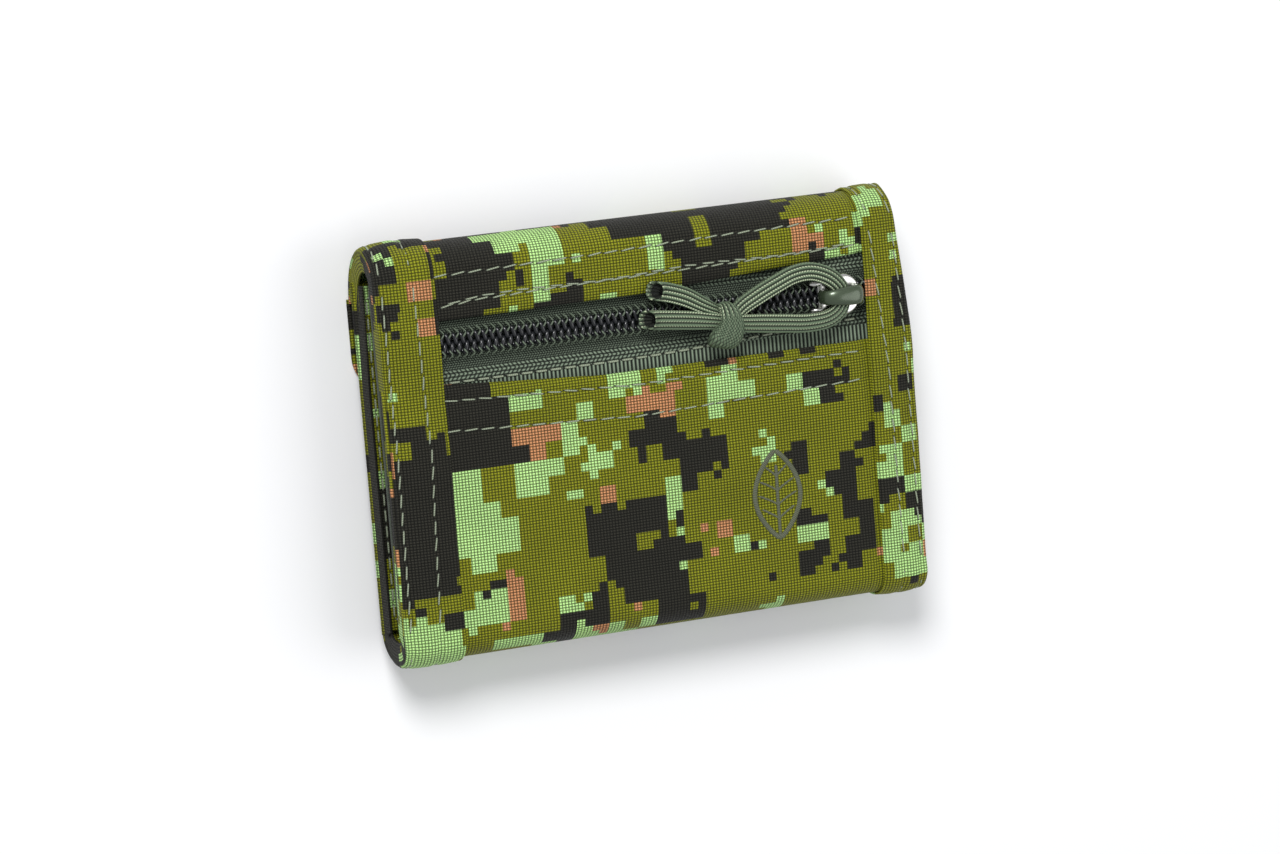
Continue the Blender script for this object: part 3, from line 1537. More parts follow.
@dataclass
class Slider:
    """The slider: a nickel body whose top plate carries an enamelled bridge."""

    looks: Finishes
    middle: float = 24.4
    outline: tuple = ((40.6, 3.5), (41.4, 3.6), (42.6, 3.7), (45.3, 4.6), (47.3, 4.7),
                      (49.0, 3.7), (50.0, 2.0))
    nose: tuple = (38.5, 42.2, 3.05)
    base: float = 20.3
    top: float = 23.3
    roof: float = 22.3
    wall: float = 1.0
    bridge: tuple = ((40.9, 22.9), (40.8, 24.2), (41.4, 25.6), (42.9, 26.4), (45.4, 26.6),
                     (47.9, 26.5), (49.2, 25.8), (49.7, 24.4), (49.6, 22.9))
    bridge_width: float = 4.3
    bridge_thick: float = 1.7

    def plate(self) -> Surface:
        """The top plate: a rounded channel section carried along the zip.

        The outer half goes up one wall, over and down the other; the inner half comes back
        under the roof. Its half width follows the outline.

        Returns:
            The plate.
        """
        curve = catmull_rom(self.outline, 8)
        x = np.concatenate([curve[:1, 0] - 0.28, curve[:, 0], curve[-1:, 0] + 0.25])
        w = np.concatenate([curve[:1, 1] - 0.5, curve[:, 1], curve[-1:, 1] - 0.8])
        a = np.linspace(0.0, np.pi / 2, 7)
        r = 0.9
        soft = smoothstep(np.minimum(x - x[0] + 0.12, x[-1] - x + 0.12) / 0.9)[:, None]
        top = self.base + (self.top - self.base) * (0.72 + 0.28 * soft)
        wc = w[:, None]
        right_z = top - r * (1 - np.cos(a))[None] * soft
        right_y = wc - r * (1 - np.sin(a))[None] * np.minimum(1.0, wc / 1.8)
        flat_t = np.linspace(-1.0, 1.0, 9)[None, 1:-1]
        flat_y = flat_t * (wc - r * np.minimum(1.0, wc / 1.8))
        outer_y = np.concatenate([-wc, -right_y[:, ::-1], flat_y, right_y, wc], axis=1)
        outer_z = np.concatenate([self.base + 0 * wc, right_z[:, ::-1], top + 0 * flat_y,
                                  right_z, self.base + 0 * wc], axis=1)
        t = np.linspace(1.0, -1.0, outer_y.shape[1])[None]
        inner_w = np.maximum(wc - self.wall, 0.2)
        inner_y = inner_w * np.sign(t) * np.abs(t) ** 0.7
        rise = smoothstep((1 - np.abs(t)) / 0.16)
        inner_z = self.base + (self.roof - self.base) * rise + 0 * wc
        y = np.concatenate([outer_y, inner_y], axis=1)
        z = np.concatenate([outer_z, inner_z], axis=1)
        path = np.stack([x, 0 * x + self.middle, 0 * x], axis=1)
        section = np.stack([-y, z], axis=2)
        return tube(path, upward(path), section)

    def bar(self) -> Surface:
        """The bridge: a flat bar with rounded edges carried over an arch.

        Returns:
            The bridge.
        """
        line = catmull_rom(self.bridge, 6)
        path = np.stack([line[:, 0], 0 * line[:, 0] + self.middle, line[:, 1]], axis=1)
        tangent = unit(np.gradient(path, axis=0))
        normal = np.cross(tangent, np.array([0.0, 1.0, 0.0]))
        taper = 0.76 + 0.24 * smoothstep((path[:, 0] - 41.0) / 6.0)
        section = oval(self.bridge_width, self.bridge_thick, 28, 2.0)[None] * np.stack(
            [taper, np.ones_like(taper)], axis=1)[:, None]
        return tube(path, -normal, section)

    def flanges(self) -> Surface:
        """The two ends of the side walls that reach past the plate at the nose.

        Each is a rounded oblong carried along the zip, drawn in at its tip as a sixth power.

        Returns:
            Both flanges, in one surface.
        """
        x0, x1, away = self.nose
        x = np.linspace(x0, x1, 16)
        size = (1.0 - 0.5 * ((x1 - x) / (x1 - x0)) ** 6)[:, None, None]
        path = np.stack([x, 0 * x, 0 * x + (self.base + self.top) / 2 - 0.05], axis=1)
        section = oval(1.3, self.top - self.base - 0.15, 20, 4.0)[None] * size
        return Surface.join(tube(path + [0.0, self.middle + side * away, 0.0], upward(path),
                                 section) for side in (-1.0, 1.0))

    def build(self) -> None:
        """Makes the plate and bridge and plates the two nodes that show below."""
        body = Surface.join([self.plate(), self.flanges()])
        make("slider_body", body, self.looks.nickel, Body.SLIDER,
             ["slider_top_plate"], sharp=38.0)
        make("slider_bar", self.bar(), self.looks.enamel, Body.SLIDER, ["slider_bridge"])
        for node in ("slider_bottom_plate", "slider_post"):
            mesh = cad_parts[node].data
            mesh.materials.clear()
            mesh.materials.append(self.looks.nickel)


@dataclass
class CordPull:
    """A pull of flat braided cord: looped under the bridge and tied in an overhand knot."""

    looks: Finishes
    width: float = 4.1
    thick: float = 2.0
    ribs: int = 10
    # x, y, z, then the way the cord's flat side faces, then its width as a share
    route: tuple = (
        (-0.6, 31.0, 24.8, 0, 0, 1, 1.06), (3.4, 30.1, 24.6, 0, 0, 1, 1.06),
        (7.4, 28.6, 24.5, 0, 0, 1, 1.04), (11.4, 26.3, 24.4, 0, 0, 1, 0.90),
        (14.6, 24.5, 24.3, 0, 0.3, 1, 0.76), (16.4, 25.3, 25.2, 0, -1, 0, 0.74),
        (16.9, 24.5, 26.6, 0, -0.6, -1, 0.95), (17.2, 22.0, 27.1, 0, 0, -1, 1.30),
        (16.6, 19.6, 26.3, 0, 0.2, -1, 1.70), (15.3, 17.9, 25.3, 0, 1, -1, 1.80),
        (15.6, 18.6, 24.2, 0, 0.6, 1, 1.20), (17.6, 20.8, 23.9, 0, 0, 1, 0.85),
        (20.4, 24.3, 24.1, 0, 0, 1, 0.92), (24.5, 26.7, 24.5, 0, 0, 1, 1.0),
        (29.5, 28.9, 24.5, 0, 0, 1, 1.0), (34.0, 30.5, 24.4, 0, 0, 1, 1.0),
        (38.2, 30.7, 24.5, 0, 0, 1, 1.0), (42.0, 29.2, 24.8, 0, 0, 1, 0.98),
        (44.6, 26.7, 24.8, 0, 0, 1, 0.92), (45.2, 24.2, 24.8, 0, 0, 1, 0.86),
        (44.4, 21.4, 24.8, 0, 0, 1, 0.90), (41.4, 19.5, 24.6, 0, 0, 1, 0.94),
        (36.5, 19.1, 24.4, 0, 0, 1, 0.98), (31.0, 19.7, 24.4, 0, 0, 1, 1.0),
        (25.5, 20.4, 24.5, 0, 0, 1, 1.0), (21.0, 21.0, 25.0, 0, 0, 1, 0.95),
        (17.2, 21.7, 25.5, 0, 0, 1, 0.84), (13.4, 22.4, 25.1, 0, 0, 1, 0.88),
        (9.0, 23.1, 24.5, 0, 0, 1, 1.0), (3.0, 23.9, 24.4, 0, 0, 1, 1.03),
        (-2.8, 24.6, 24.6, 0, 0, 1, 1.04))

    def build(self) -> None:
        """Makes the cord.

        The section is a flat oval whose edge rises by 0.26 |sin| ten times round, once for
        each rib. At each open end it is cut aslant, turns in and runs back inside for 2.5 mm.
        """
        knots = np.asarray(self.route, float)
        curve = catmull_rom(knots, 12)
        curve = evenly(curve, 0.42)
        path, facing, share = curve[:, :3], unit(curve[:, 3:6]), curve[:, 6]
        fine = oval(self.width, self.thick, 720, 2.6)
        loop = np.vstack([fine, fine[:1]])
        n = self.ribs * 6
        girth = np.arange(n) / n
        base = at_lengths(loop, girth * along(loop)[-1])
        out = unit(base * np.array([1 / self.width**2, 1 / self.thick**2]))
        ribs = (0.26 * np.abs(np.sin(np.pi * self.ribs * girth)) - 0.15)[:, None]
        girth_kept = 1.0 + (1.0 - share).clip(0.0) * 0.55 + (share - 1.1).clip(0.0) * 1.35
        mouth = 0.75 * np.exp(-from_ends(len(path)) / 6.0)
        squeeze = np.stack([share, girth_kept + mouth], axis=1)
        calm = smoothstep(from_ends(len(path)) / 5.0)
        calm = calm * (1 - smoothstep((share - 1.1) / 0.4))
        section = (base + out * ribs)[None] * calm[:, None, None] + base[None] * (
            1 - calm)[:, None, None]
        section = section * squeeze[:, None]
        tangent = unit(np.gradient(path, axis=0))
        normal = unit(facing - (facing * tangent).sum(1, keepdims=True) * tangent)
        side = np.cross(normal, tangent)
        ring = (path[:, None] + side[:, None] * section[..., :1]
                + normal[:, None] * section[..., 1:])
        u = along(path)
        # each end is cut aslant: the upper side stops short by up to 2 mm
        high = ((ring - path[:, None]) * normal[:, None]).sum(2, keepdims=True)
        for end, way in ((slice(0, 8), 1.0), (slice(-8, None), -1.0)):
            fade = np.linspace(1.0, 0.12, 8)[::int(way), None, None]
            ring[end] += tangent[end, None] * way * fade * (high[end] + 1.2) * 0.85
        rows, lengths = [ring], [u]
        for end, way in ((0, -1.0), (-1, 1.0)):
            inner = []
            for shrink, back in ((0.98, 0.06), (0.90, 0.08), (0.84, -0.1), (0.72, -1.2),
                                 (0.58, -2.4), (0.2, -2.5)):
                inner.append(path[end] + (ring[end] - path[end]) * shrink
                             + tangent[end] * way * back)
            rows.insert(0 if end == 0 else len(rows),
                        np.stack(inner[::-1] if end == 0 else inner))
            near = -np.array([0.1, 0.2, 0.3, 1.4, 2.6, 3.2])  # below zero inside the sheath
            lengths.insert(0 if end == 0 else len(lengths), near[::-1] if end == 0 else near)
        ring, u = np.concatenate(rows), np.concatenate(lengths)
        shape = skin(ring, u, turn_last=True)
        cord = make("pull_cord", shape, self.looks.cord, Body.PULL,
                    ["pull_loop", "pull_knot", "pull_tail_upper", "pull_tail_lower"],
                    sharp=180.0)
        LOG.info("cord length %.1f mm", along(path)[-1])


# ---- inside the wallet -------------------------------------------------------------------


SEW_PITCH = 3.6    # from one stitch inside the wallet to the next
SEW_HALF = 1.75    # half a stitch's length
SEW_LIFT = 0.06    # how high it lies on the cloth
SEW_WIDTH = 0.42   # its thread


@dataclass
class Leaf:
    """One flat layer inside the wallet: a padded sheet with a sewn edge.

    The half width is w, drawn in round both corners of one end by r - sqrt(r^2 - d^2). The seen
    face swells by c (1 - x^2)(1 - y^2) and sinks along its sewn edge.
    """

    name: str
    node: str
    half: float
    low: float
    high: float
    z: tuple[float, float]
    up: bool
    slot: str = "lining"
    corner: float = 0.0
    crown: float = 0.12
    sewn: float | None = 2.0
    hem: bool = False
    seed: int = 0

    def half_width(self, y: Array) -> Array:
        """Half width at each y, less the rounded corners at the low end."""
        return rounded(self.half, self.corner, self.low, y)

    def face(self, x: Array, y: Array, lift: float = 0.0) -> Array:
        """Points on the seen face.

        Args:
            x: position across.
            y: position up.
            lift: height above the face.

        Returns:
            Points, with a last axis of 3.
        """
        sign = 1.0 if self.up else -1.0
        level = self.z[1] if self.up else self.z[0]
        tx = (x / self.half).clip(-1, 1)
        ty = ((y - (self.low + self.high) / 2) / ((self.high - self.low) / 2)).clip(-1, 1)
        h = self.crown * (1 - tx**2) * (1 - ty**2)
        h = h + 0.5 * self.crown * (value_noise(x / 15.0, y / 11.0, 90 + self.seed) - 0.5)
        if self.sewn:
            edge = np.minimum(self.half_width(y) - np.abs(x),
                              np.minimum(y - self.low, self.high - y))
            h = h - 0.12 * np.exp(-((edge - self.sewn) / 0.7) ** 2)
        return np.stack(np.broadcast_arrays(x, y, level + sign * (h + lift)), axis=-1)

    def build(self, looks: Finishes, finish: bpy.types.Material, body: Body,
              pattern: Pattern | None = None) -> bpy.types.Object:
        """Makes the leaf and its sewing.

        Args:
            looks: the finishes, for the thread.
            finish: the leaf's own finish.
            body: the body it rides on.
            pattern: the print, for printed cloth.

        Returns:
            The leaf.
        """
        thick = self.z[1] - self.z[0]
        inset = min(thick / 2, 0.4)
        y = np.linspace(self.low + inset, self.high - inset, int((self.high - self.low)) + 1)
        t = np.linspace(-1.0, 1.0, int(self.half * 2) + 1)
        yy = np.broadcast_to(y[None], (len(t), len(y)))
        xx = t[:, None] * (self.half_width(y) - inset)[None]
        grid = self.face(xx, yy)
        shape = cloth(grid, thick, np.stack([xx, yy], axis=2), flip=not self.up)
        colours = pattern.numbers(shape.face_uv()) if pattern else None
        piece = make(self.name, shape, finish, body, [self.node], colours)
        if self.sewn:
            self.sew(looks, body)
        return piece

    def sew(self, looks: Finishes, body: Body) -> None:
        """Stitches round the leaf, and along its open end where it is a pocket.

        Args:
            looks: the finishes, for the thread.
            body: the body it rides on.
        """
        d = self.sewn
        a, b, w = self.low + d, self.high - d, self.half - d
        r = max(self.corner - d, 0.8)
        arc = np.linspace(0, np.pi / 2, 7)
        right = np.stack([w - r + r * np.cos(arc), a + r - r * np.sin(arc)], axis=1)
        outline = np.vstack([[[w, b]], right, right[::-1] * [-1, 1], [[-w, b]], [[w, b]]])
        if self.hem:
            outline = outline[:-1]
        middle = np.arange(1.6, along(outline)[-1] - 1.0, SEW_PITCH)
        steps = (-SEW_HALF, SEW_HALF)
        rows = [[self.face(*at_lengths(outline, middle + step).T, SEW_LIFT) for step in steps]]
        if self.hem:
            x = np.arange(-w + 2, w - 2, SEW_PITCH)
            rows.append([self.face(x + step, 0 * x + self.high - 3.0, SEW_LIFT)
                         for step in steps])
        up = [0.0, 0.0, 1.0 if self.up else -1.0]
        bits = Surface.join([thread_bits(p, q, np.broadcast_to(up, p.shape), SEW_WIDTH)
                             for p, q in rows])
        make(f"{self.name}_sewing", bits, looks.thread, body)


def build_leaves(leaves: Sequence[Leaf], looks: Finishes, body: Body) -> None:
    """Makes a stack of leaves: printed cloth for the camo slot and lining for the others.

    Args:
        leaves: the leaves.
        looks: the finishes.
        body: the body they ride on.
    """
    for leaf in leaves:
        printed = leaf.slot == "camo"
        leaf.build(looks, looks.nylon if printed else looks.lining, body,
                   Pattern(seed=20 + leaf.seed) if printed else None)


@dataclass
class FrontInside:
    """Behind the front panel: the coin pocket's lining, the wallet's lining and card pockets."""

    looks: Finishes
    leaves: tuple = (
        Leaf("coin_pocket_cloth", "coin_pocket_lining", 60.0, -36.0, 37.0, (16.7, 17.3), True,
             crown=0.1, sewn=None),
        Leaf("front_lining_cloth", "front_lining", 62.9, -40.3, 38.3, (15.4, 16.4), False,
             sewn=1.6, seed=1, crown=0.1),
        Leaf("card_pocket_deep", "card_pocket_1", 56.0, -38.0, 24.0, (14.3, 15.1), False,
             "camo", hem=True, seed=2, crown=0.1),
        Leaf("card_pocket_middle", "card_pocket_2", 56.0, -38.0, 12.0, (13.2, 14.0), False,
             "camo", hem=True, seed=3, crown=0.1),
        Leaf("card_pocket_short", "card_pocket_3", 56.0, -38.0, 0.0, (12.1, 12.9), False,
             "camo", hem=True, seed=4, crown=0.1))

    def build(self) -> None:
        """Makes the five leaves."""
        build_leaves(self.leaves, self.looks, Body.FRONT)


@dataclass
class BackPanel:
    """The back third: a shell that swells over folded notes, a divider, a lining, a pocket with
    a clear window, and the loop half of the fastening."""

    strip: Strip
    looks: Finishes
    half: float = 62.9
    swell: float = 3.8
    inner_z: float = 5.6
    recess: tuple = (40.6, 12.7, 33.3, 0.8)
    loop: tuple = (40.0, 13.3, 32.7, 3.7, 4.3)
    leaves: tuple = (
        Leaf("note_divider_cloth", "note_divider", 60.0, -38.0, 30.0, (5.9, 6.4), True,
             seed=5, crown=0.08, sewn=None),
        Leaf("back_lining_cloth", "back_lining", 62.9, -40.3, 37.6, (6.7, 7.5), True, "camo",
             sewn=1.6, seed=6, crown=0.08),
        Leaf("window_pocket_cloth", "id_pocket", 48.0, -36.0, 32.0, (7.8, 8.4), True,
             seed=7, crown=0.05, hem=True))

    def outside(self, x: Array, y: Array) -> Array:
        """Outward height of the shell: smoothsteps of the distance in from each side.

        Args:
            x: position across.
            y: position up.

        Returns:
            The height.
        """
        full = (smoothstep((48 - np.abs(x)) / 20) * smoothstep((y + 38) / 14)
                * smoothstep((9 - y) / 15))
        half, low, high, deep = self.recess
        hollow = (smoothstep((half - np.abs(x)) / 0.8) * smoothstep((y - low) / 0.8)
                  * smoothstep((high - y) / 0.8))
        ripple = 0.25 * full * (value_noise(x / 13.0, y / 10.0, 61) - 0.5)
        return self.swell * full - deep * hollow + ripple - 0.15 * full

    def shell(self) -> None:
        """The outer cloth, a closed shell as deep as its swelling."""
        x = np.linspace(-self.half, self.half, 160)
        v = np.linspace(self.strip.v_bottom - 0.3, self.strip.v_back, 102)
        y = self.strip.bottom[3][0] + (self.strip.v_bottom - v)
        xx, vv = np.meshgrid(x, v, indexing="ij")
        h = self.outside(xx, np.broadcast_to(y[None], xx.shape))
        grid = self.strip.at(xx, vv, h)
        shape = cloth(grid, h + self.inner_z - self.strip.bottom[3][1],
                      np.stack([xx, vv], axis=2), flip=True)
        piece = make("back_shell_cloth", shape, self.looks.nylon, Body.BACK, ["back_shell"],
                     Pattern(seed=31).numbers(shape.face_uv()))
        bits = []
        for level in (-38.0, 11.0, 35.6):
            line = np.linspace(-50.0, 51.0, 60)
            vs = 0 * line + self.strip.v_bottom - (level - self.strip.bottom[3][0])
            bits.append(self.strip.stitches(
                line, vs, height=lambda a, b: 0.03 + self.outside(
                    a, self.strip.bottom[3][0] + self.strip.v_bottom - b)))
        make("back_shell_sewing", Surface.join(bits), self.looks.thread, Body.BACK)

    def build(self) -> None:
        """Makes the shell, the leaves, the window and the loop tape."""
        self.shell()
        build_leaves(self.leaves, self.looks, Body.BACK)
        half, low, high, z0, z1 = self.loop
        Leaf("loop_tape", "loop_patch", half, low, high, (z0, z1), False, "hook", crown=0.05,
             sewn=1.5, seed=8, corner=1.5).build(self.looks, self.looks.loops, Body.BACK)
        film = Leaf("clear_window", "id_window", 43.0, -31.0, 27.0, (8.7, 9.0), True, "film",
                    crown=0.0, sewn=None, corner=3.0)
        film.build(self.looks, self.looks.film, Body.BACK)
        self.window_binding()

    def window_binding(self) -> None:
        """A narrow binding round the window: a flat oval carried round a rounded rectangle."""
        w, a, b, r = 43.6, -31.6, 27.6, 3.2
        turn = np.linspace(0.0, 2 * np.pi, 97)
        cx, cy = w - r, (b - a) / 2 - r
        path = np.stack([np.sign(np.cos(turn)) * cx + r * np.cos(turn),
                         (a + b) / 2 + np.sign(np.sin(turn)) * cy + r * np.sin(turn),
                         0 * turn + 8.75], axis=1)
        path = evenly(path[[n for n in range(len(path)) if n % 48 or n in (0, 96)]], 1.0)
        path[:, 2] = 8.75
        shape = tube(path, upward(path), oval(3.2, 0.6, 16, 3.0))
        make("window_binding", shape, self.looks.lining, Body.BACK)


@dataclass
class ClosingFlap:
    """The flap that closes behind: printed cloth, a lining, a bound edge and the hook tape."""

    strip: Strip
    looks: Finishes
    half: float = 62.9
    corner: float = 8.0
    low: float = 13.0
    high: float = 34.1
    hook: tuple = (39.0, 14.5, 31.5, 2.8, 3.4)
    hook_pitch: float = 1.25

    def half_width(self, y: Array, half: float | None = None) -> Array:
        """Half width at each y, less the rounded corner."""
        return rounded(half or self.half, self.corner, self.low, y)

    def layer(self, name: str, node: str, x_from: Any, x_to: Any, y_from: float, y_to: float,
              outer_z: float, thick: float, seed: int) -> None:
        """A layer of the flap between two sides.

        Args:
            name: the piece's name.
            node: the CAD node that it stands for.
            x_from: left side at each y, a function or a number.
            x_to: right side at each y, a function or a number.
            y_from: its low edge.
            y_to: its high edge.
            outer_z: height of its outer face, which looks down.
            thick: its thickness.
            seed: seed of its print.
        """
        y = np.linspace(y_from + thick / 2, y_to, 30)
        a, b = (np.broadcast_to(side(y) if callable(side) else side, y.shape)
                for side in (x_from, x_to))
        t = np.linspace(0.0, 1.0, max(int((b - a).max() / 1.3), 8) + 1)[:, None]
        xx = (a + thick / 2)[None] * (1 - t) + (b - thick / 2)[None] * t
        yy = np.broadcast_to(y[None], xx.shape)
        z = outer_z + 0.06 * (value_noise(xx / 12.0, yy / 7.0, seed) - 0.5)
        vv = self.strip.v_top + (self.strip.top[0][0] - yy)
        shape = cloth(np.stack([xx, yy, z], axis=2), thick, np.stack([xx, vv], axis=2),
                      flip=True)
        piece = make(name, shape, self.looks.nylon, Body.FLAP, [node],
                     Pattern(seed=seed).numbers(shape.face_uv()))

    def hooks(self) -> Surface:
        """The hooks: short bent bristles in rows.

        Each bristle's middle line is (0.26 (1 - cos a), 0, 0.62 sin(0.75 a)) for a from 0 to
        2.6, so it rises and bends over. Its section is 0.24 mm across and thins to its tip.

        Returns:
            Every bristle, in one surface.
        """
        half, low, high, _, top = self.hook
        x, y = np.meshgrid(np.arange(-half + 2.6, half - 2.4, self.hook_pitch),
                           np.arange(low + 2.6, high - 2.2, self.hook_pitch), indexing="ij")
        x, y = x.ravel(), y.ravel()
        way = np.where(hashed(x, y, 5) > 0.5, 1.0, -1.0)
        a = np.linspace(0.0, 2.6, 6)
        line = np.stack([x[:, None] + way[:, None] * 0.26 * (1 - np.cos(a)),
                         y[:, None] + 0 * a, top - 0.05 + 0.62 * np.sin(a * 0.75)[None]
                         + 0 * x[:, None]], axis=2)
        thin = 0.12 * (1 - 0.3 * a / 2.6)[None, :, None]
        corners = np.array([[1, 1], [-1, 1], [-1, -1], [1, -1]], float)
        ring = line[:, :, None] + np.stack(
            [thin * corners[None, None, :, 0] * np.cos(a)[None, :, None] * way[:, None, None],
             thin * corners[None, None, :, 1] + 0 * way[:, None, None],
             -thin * corners[None, None, :, 0] * np.sin(a)[None, :, None]
             + 0 * way[:, None, None]], axis=3)
        k = len(x)
        index = np.arange(k * 24).reshape(k, 6, 4)
        wide = np.concatenate([index, index[:, :, :1]], axis=2)
        body = np.stack([wide[:, :-1, :-1], wide[:, :-1, 1:], wide[:, 1:, 1:],
                         wide[:, 1:, :-1]], axis=-1)
        caps = np.stack([index[:, 0, ::-1], index[:, -1]], axis=1)
        faces = np.concatenate([body.reshape(k, -1, 4), caps], axis=1)
        faces = np.where((way > 0)[:, None, None], faces, faces[:, :, ::-1])
        return Surface(ring.reshape(-1, 3), faces.reshape(-1, 4), ring.reshape(-1, 3)[:, :2])

    def build(self) -> None:
        """Makes the flap's layers, its sewing and the hook tape."""
        self.layer("flap_cloth", "flap_shell", lambda y: -self.half_width(y), self.half_width,
                   self.low, self.high + 0.2, 0.9, 0.7, 41)
        self.layer("flap_binding_left", "band_flap_left",
                   lambda y: -self.half_width(y, 63.8), -50.0, self.low, 33.9, 0.0, 0.6, 42)
        self.layer("flap_binding_right", "band_flap_right", 52.3,
                   lambda y: self.half_width(y, 63.8), self.low, 33.9, 0.0, 0.6, 43)
        self.layer("flap_binding_end", "flap_end_band", -49.7, 52.0, self.low, 19.0, 0.0, 0.6,
                   44)
        Leaf("flap_lining_cloth", "flap_lining", 62.9, self.low, 33.8, (1.9, 2.5), True,
             corner=self.corner, sewn=1.8, seed=9, crown=0.05).build(
                 self.looks, self.looks.lining, Body.FLAP)
        half, low, high, z0, z1 = self.hook
        Leaf("hook_tape", "hook_strip", half, low, high, (z0, z1), True, "hook", crown=0.0,
             sewn=1.3, seed=10, corner=1.5).build(self.looks, self.looks.hooks, Body.FLAP)
        make("hook_bristles", self.hooks(), self.looks.hooks, Body.FLAP)
        rows = []
        for line in (((-58.0, -58.0), (20.5, 33.0)), ((58.6, 58.6), (20.5, 33.0)),
                     ((-54.0, 54.0), (15.4, 15.4)), ((-48.5, 50.5), (17.6, 17.6))):
            xs = np.linspace(*line[0], 40)
            ys = np.linspace(*line[1], 40)
            rows.append(self.strip.stitches(xs, self.strip.v_top + self.strip.top[0][0] - ys,
                                            h=0.93))
        make("flap_sewing", Surface.join(rows), self.looks.thread, Body.FLAP)


@dataclass
class Emblem:
    """A plain leaf embroidered on the front panel: a satin outline, a midrib and veins."""

    strip: Strip
    looks: Finishes
    x: float = 27.0
    base: float = -29.4
    length: float = 20.2
    half: float = 5.6

    def line(self, name: str, xs: Array, ys: Array, width: float, high: float) -> Surface:
        """A line of satin stitch: a flat oval with fine ridges across it.

        Args:
            name: what it is, for the log.
            xs: its positions across.
            ys: its positions along the strip.
            width: its width.
            high: its height.

        Returns:
            The line.
        """
        path = evenly(np.stack([xs, ys], axis=1), 0.16)
        ridge = 0.035 * np.sin(np.arange(len(path)) * 2 * np.pi / 2.6)
        centre = self.strip.at(path[:, 0], path[:, 1], 0.02 + ridge)
        end = smoothstep(from_ends(len(path)) / 3.0)
        section = oval(width, high, 10)[None] * (0.35 + 0.65 * end)[:, None, None]
        LOG.info("embroidered %s", name)
        return tube(centre, self.strip.facing(path[:, 0], path[:, 1]), section)

    def build(self) -> None:
        """Makes the leaf.

        Its half width at a share t of its length is w sin(pi t)^0.8, and each vein rises from
        the midrib towards the edge.
        """
        t = np.linspace(0.0, 1.0, 90)
        w = self.half * np.sin(np.pi * t) ** 0.8
        y = self.base + self.length * t
        parts = [self.line("left edge", self.x - w, y, 1.15, 0.5),
                 self.line("right edge", self.x + w, y, 1.15, 0.5),
                 self.line("midrib", self.x + 0 * t[8:], self.base - 2.2
                           + (self.length - 1.0) * t[8:], 0.8, 0.45)]
        for share in (0.22, 0.38, 0.54, 0.70):
            for side in (-1.0, 1.0):
                s = np.linspace(0.0, 1.0, 12)
                reach = self.half * np.sin(np.pi * (share + 0.10)) ** 0.8 - 0.9
                parts.append(self.line("vein", self.x + side * reach * s, self.base
                                       + self.length * (share + 0.13 * s**0.8), 0.5, 0.34))
        make("embroidered_leaf", Surface.join(parts), self.looks.embroidery, Body.FRONT,
             ["emblem"])


# ---- camera, floor and light -------------------------------------------------------------


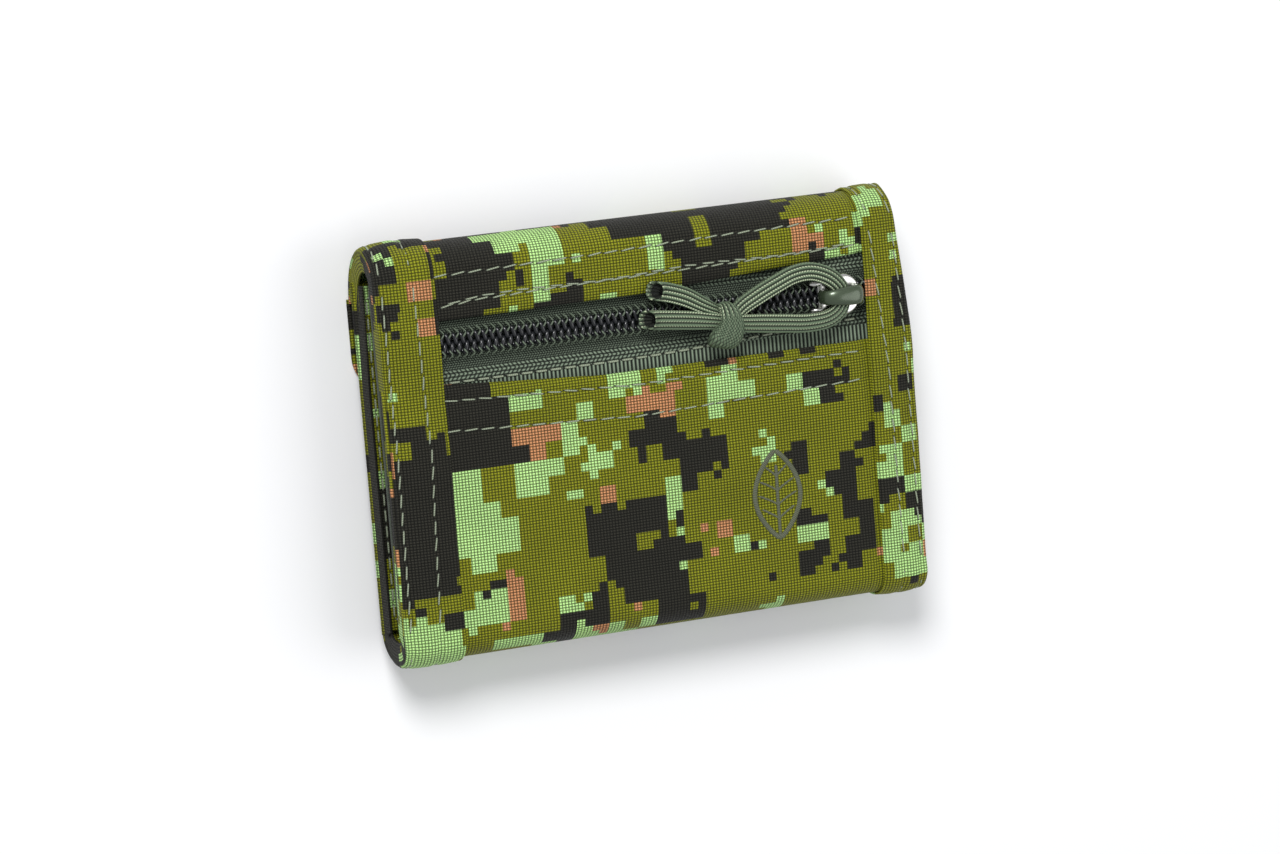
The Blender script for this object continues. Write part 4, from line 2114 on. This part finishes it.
@dataclass
class Studio:
    """A pale floor, soft light and the camera."""

    place: tuple = (-310.6, 148.5, 862.3)
    azimuth: float = 20.0
    elevation: float = 9.403
    roll: float = -4.552
    lens: float = 114.02
    floor: str = "#F6F6F7"
    level: float = -0.45
    reach: float = 2500.0

    def camera(self) -> None:
        """Sets the camera from its direction and roll."""
        az, el, roll = np.radians([self.azimuth, self.elevation, self.roll])
        d = np.array([-np.sin(az) * np.cos(el), np.sin(el), np.cos(az) * np.cos(el)])
        r = unit(np.cross([0.0, 1.0, 0.0], d))
        u = np.cross(d, r)
        right = np.cos(roll) * r + np.sin(roll) * u
        up = -np.sin(roll) * r + np.cos(roll) * u
        data = bpy.data.cameras.new("camera")
        data.lens, data.sensor_width = self.lens, 36.0
        data.clip_start, data.clip_end = 0.05, 20.0
        camera = linked("camera", data)
        camera.matrix_world = stood((right, up, d), np.asarray(self.place) * MM)
        bpy.context.scene.camera = camera

    def light(self, name: str, place: Sequence[float], size: float, power: float) -> None:
        """An area light that looks at the wallet.

        Args:
            name: the light's name.
            place: where it stands, in metres.
            size: its disk's size, in metres.
            power: its power, in watts.
        """
        data = bpy.data.lights.new(name, "AREA")
        data.shape, data.size, data.energy = "DISK", size, power
        lamp = linked(name, data)
        z = unit(np.asarray(place, float))
        x = unit(np.cross([0.0, 1.0, 0.01], z))
        lamp.matrix_world = stood((x, np.cross(z, x), z), place)

    def stage(self) -> None:
        """The floor and the world's light."""
        r = Recipe("painted_floor")
        finish = r.finish(Base_Color=linear(self.floor), Roughness=0.9)
        line = np.linspace(-self.reach, self.reach, 3)
        x, y = np.meshgrid(line, line, indexing="ij")
        grid = np.stack([x, y, np.full(x.shape, self.level)], axis=2)
        index = np.arange(9).reshape(3, 3)
        mesh = bpy.data.meshes.new("floor")
        mesh.from_pydata((grid.reshape(-1, 3) * MM).tolist(), [], quads(index).tolist())
        mesh.materials.append(finish)
        linked("floor", mesh)
        world = bpy.data.worlds.new("studio")
        world.use_nodes = True
        world.node_tree.nodes["Background"].inputs[0].default_value = linear("#F2F4F7")
        world.node_tree.nodes["Background"].inputs[1].default_value = 0.50
        bpy.context.scene.world = world
        bpy.context.scene.view_settings.view_transform = "Standard"

    def build(self) -> None:
        """Sets up the camera, floor and lights."""
        self.camera()
        self.stage()
        self.light("key", (-0.45, 0.85, 1.1), 0.5, 15.0)
        self.light("fill", (0.9, -0.2, 1.1), 1.2, 6.0)


def main() -> None:
    """Builds the wallet from the outside in."""
    logging.basicConfig(level=logging.INFO, format="%(message)s", stream=sys.stdout)
    looks = Finishes()
    Studio().build()
    CordPull(looks).build()
    Slider(looks).build()
    strip = Strip()
    Zip(looks).build()
    OuterCloth(strip, looks).build()
    SideBand(strip, looks, True, -50.0, ((-43.0, 0.0, 45.0), (-55.5, -54.0, -55.0)),
             ((-44.0, 0.0, 47.0), (-62.0, -61.5, -62.0)),
             Pattern(masses=LEFT_MASSES, seed=11)).build()
    SideBand(strip, looks, False, 52.3, ((-35.0, 5.0, 30.0, 47.0), (57.0, 56.5, 54.5, 53.4)),
             ((-44.0, 10.0, 30.0, 47.0), (61.6, 61.2, 60.0, 59.2)),
             Pattern(masses=RIGHT_MASSES, seed=12)).build()
    Emblem(strip, looks).build()
    FrontInside(looks).build()
    BackPanel(strip, looks).build()
    ClosingFlap(strip, looks).build()


if __name__ == "__main__":
    main()
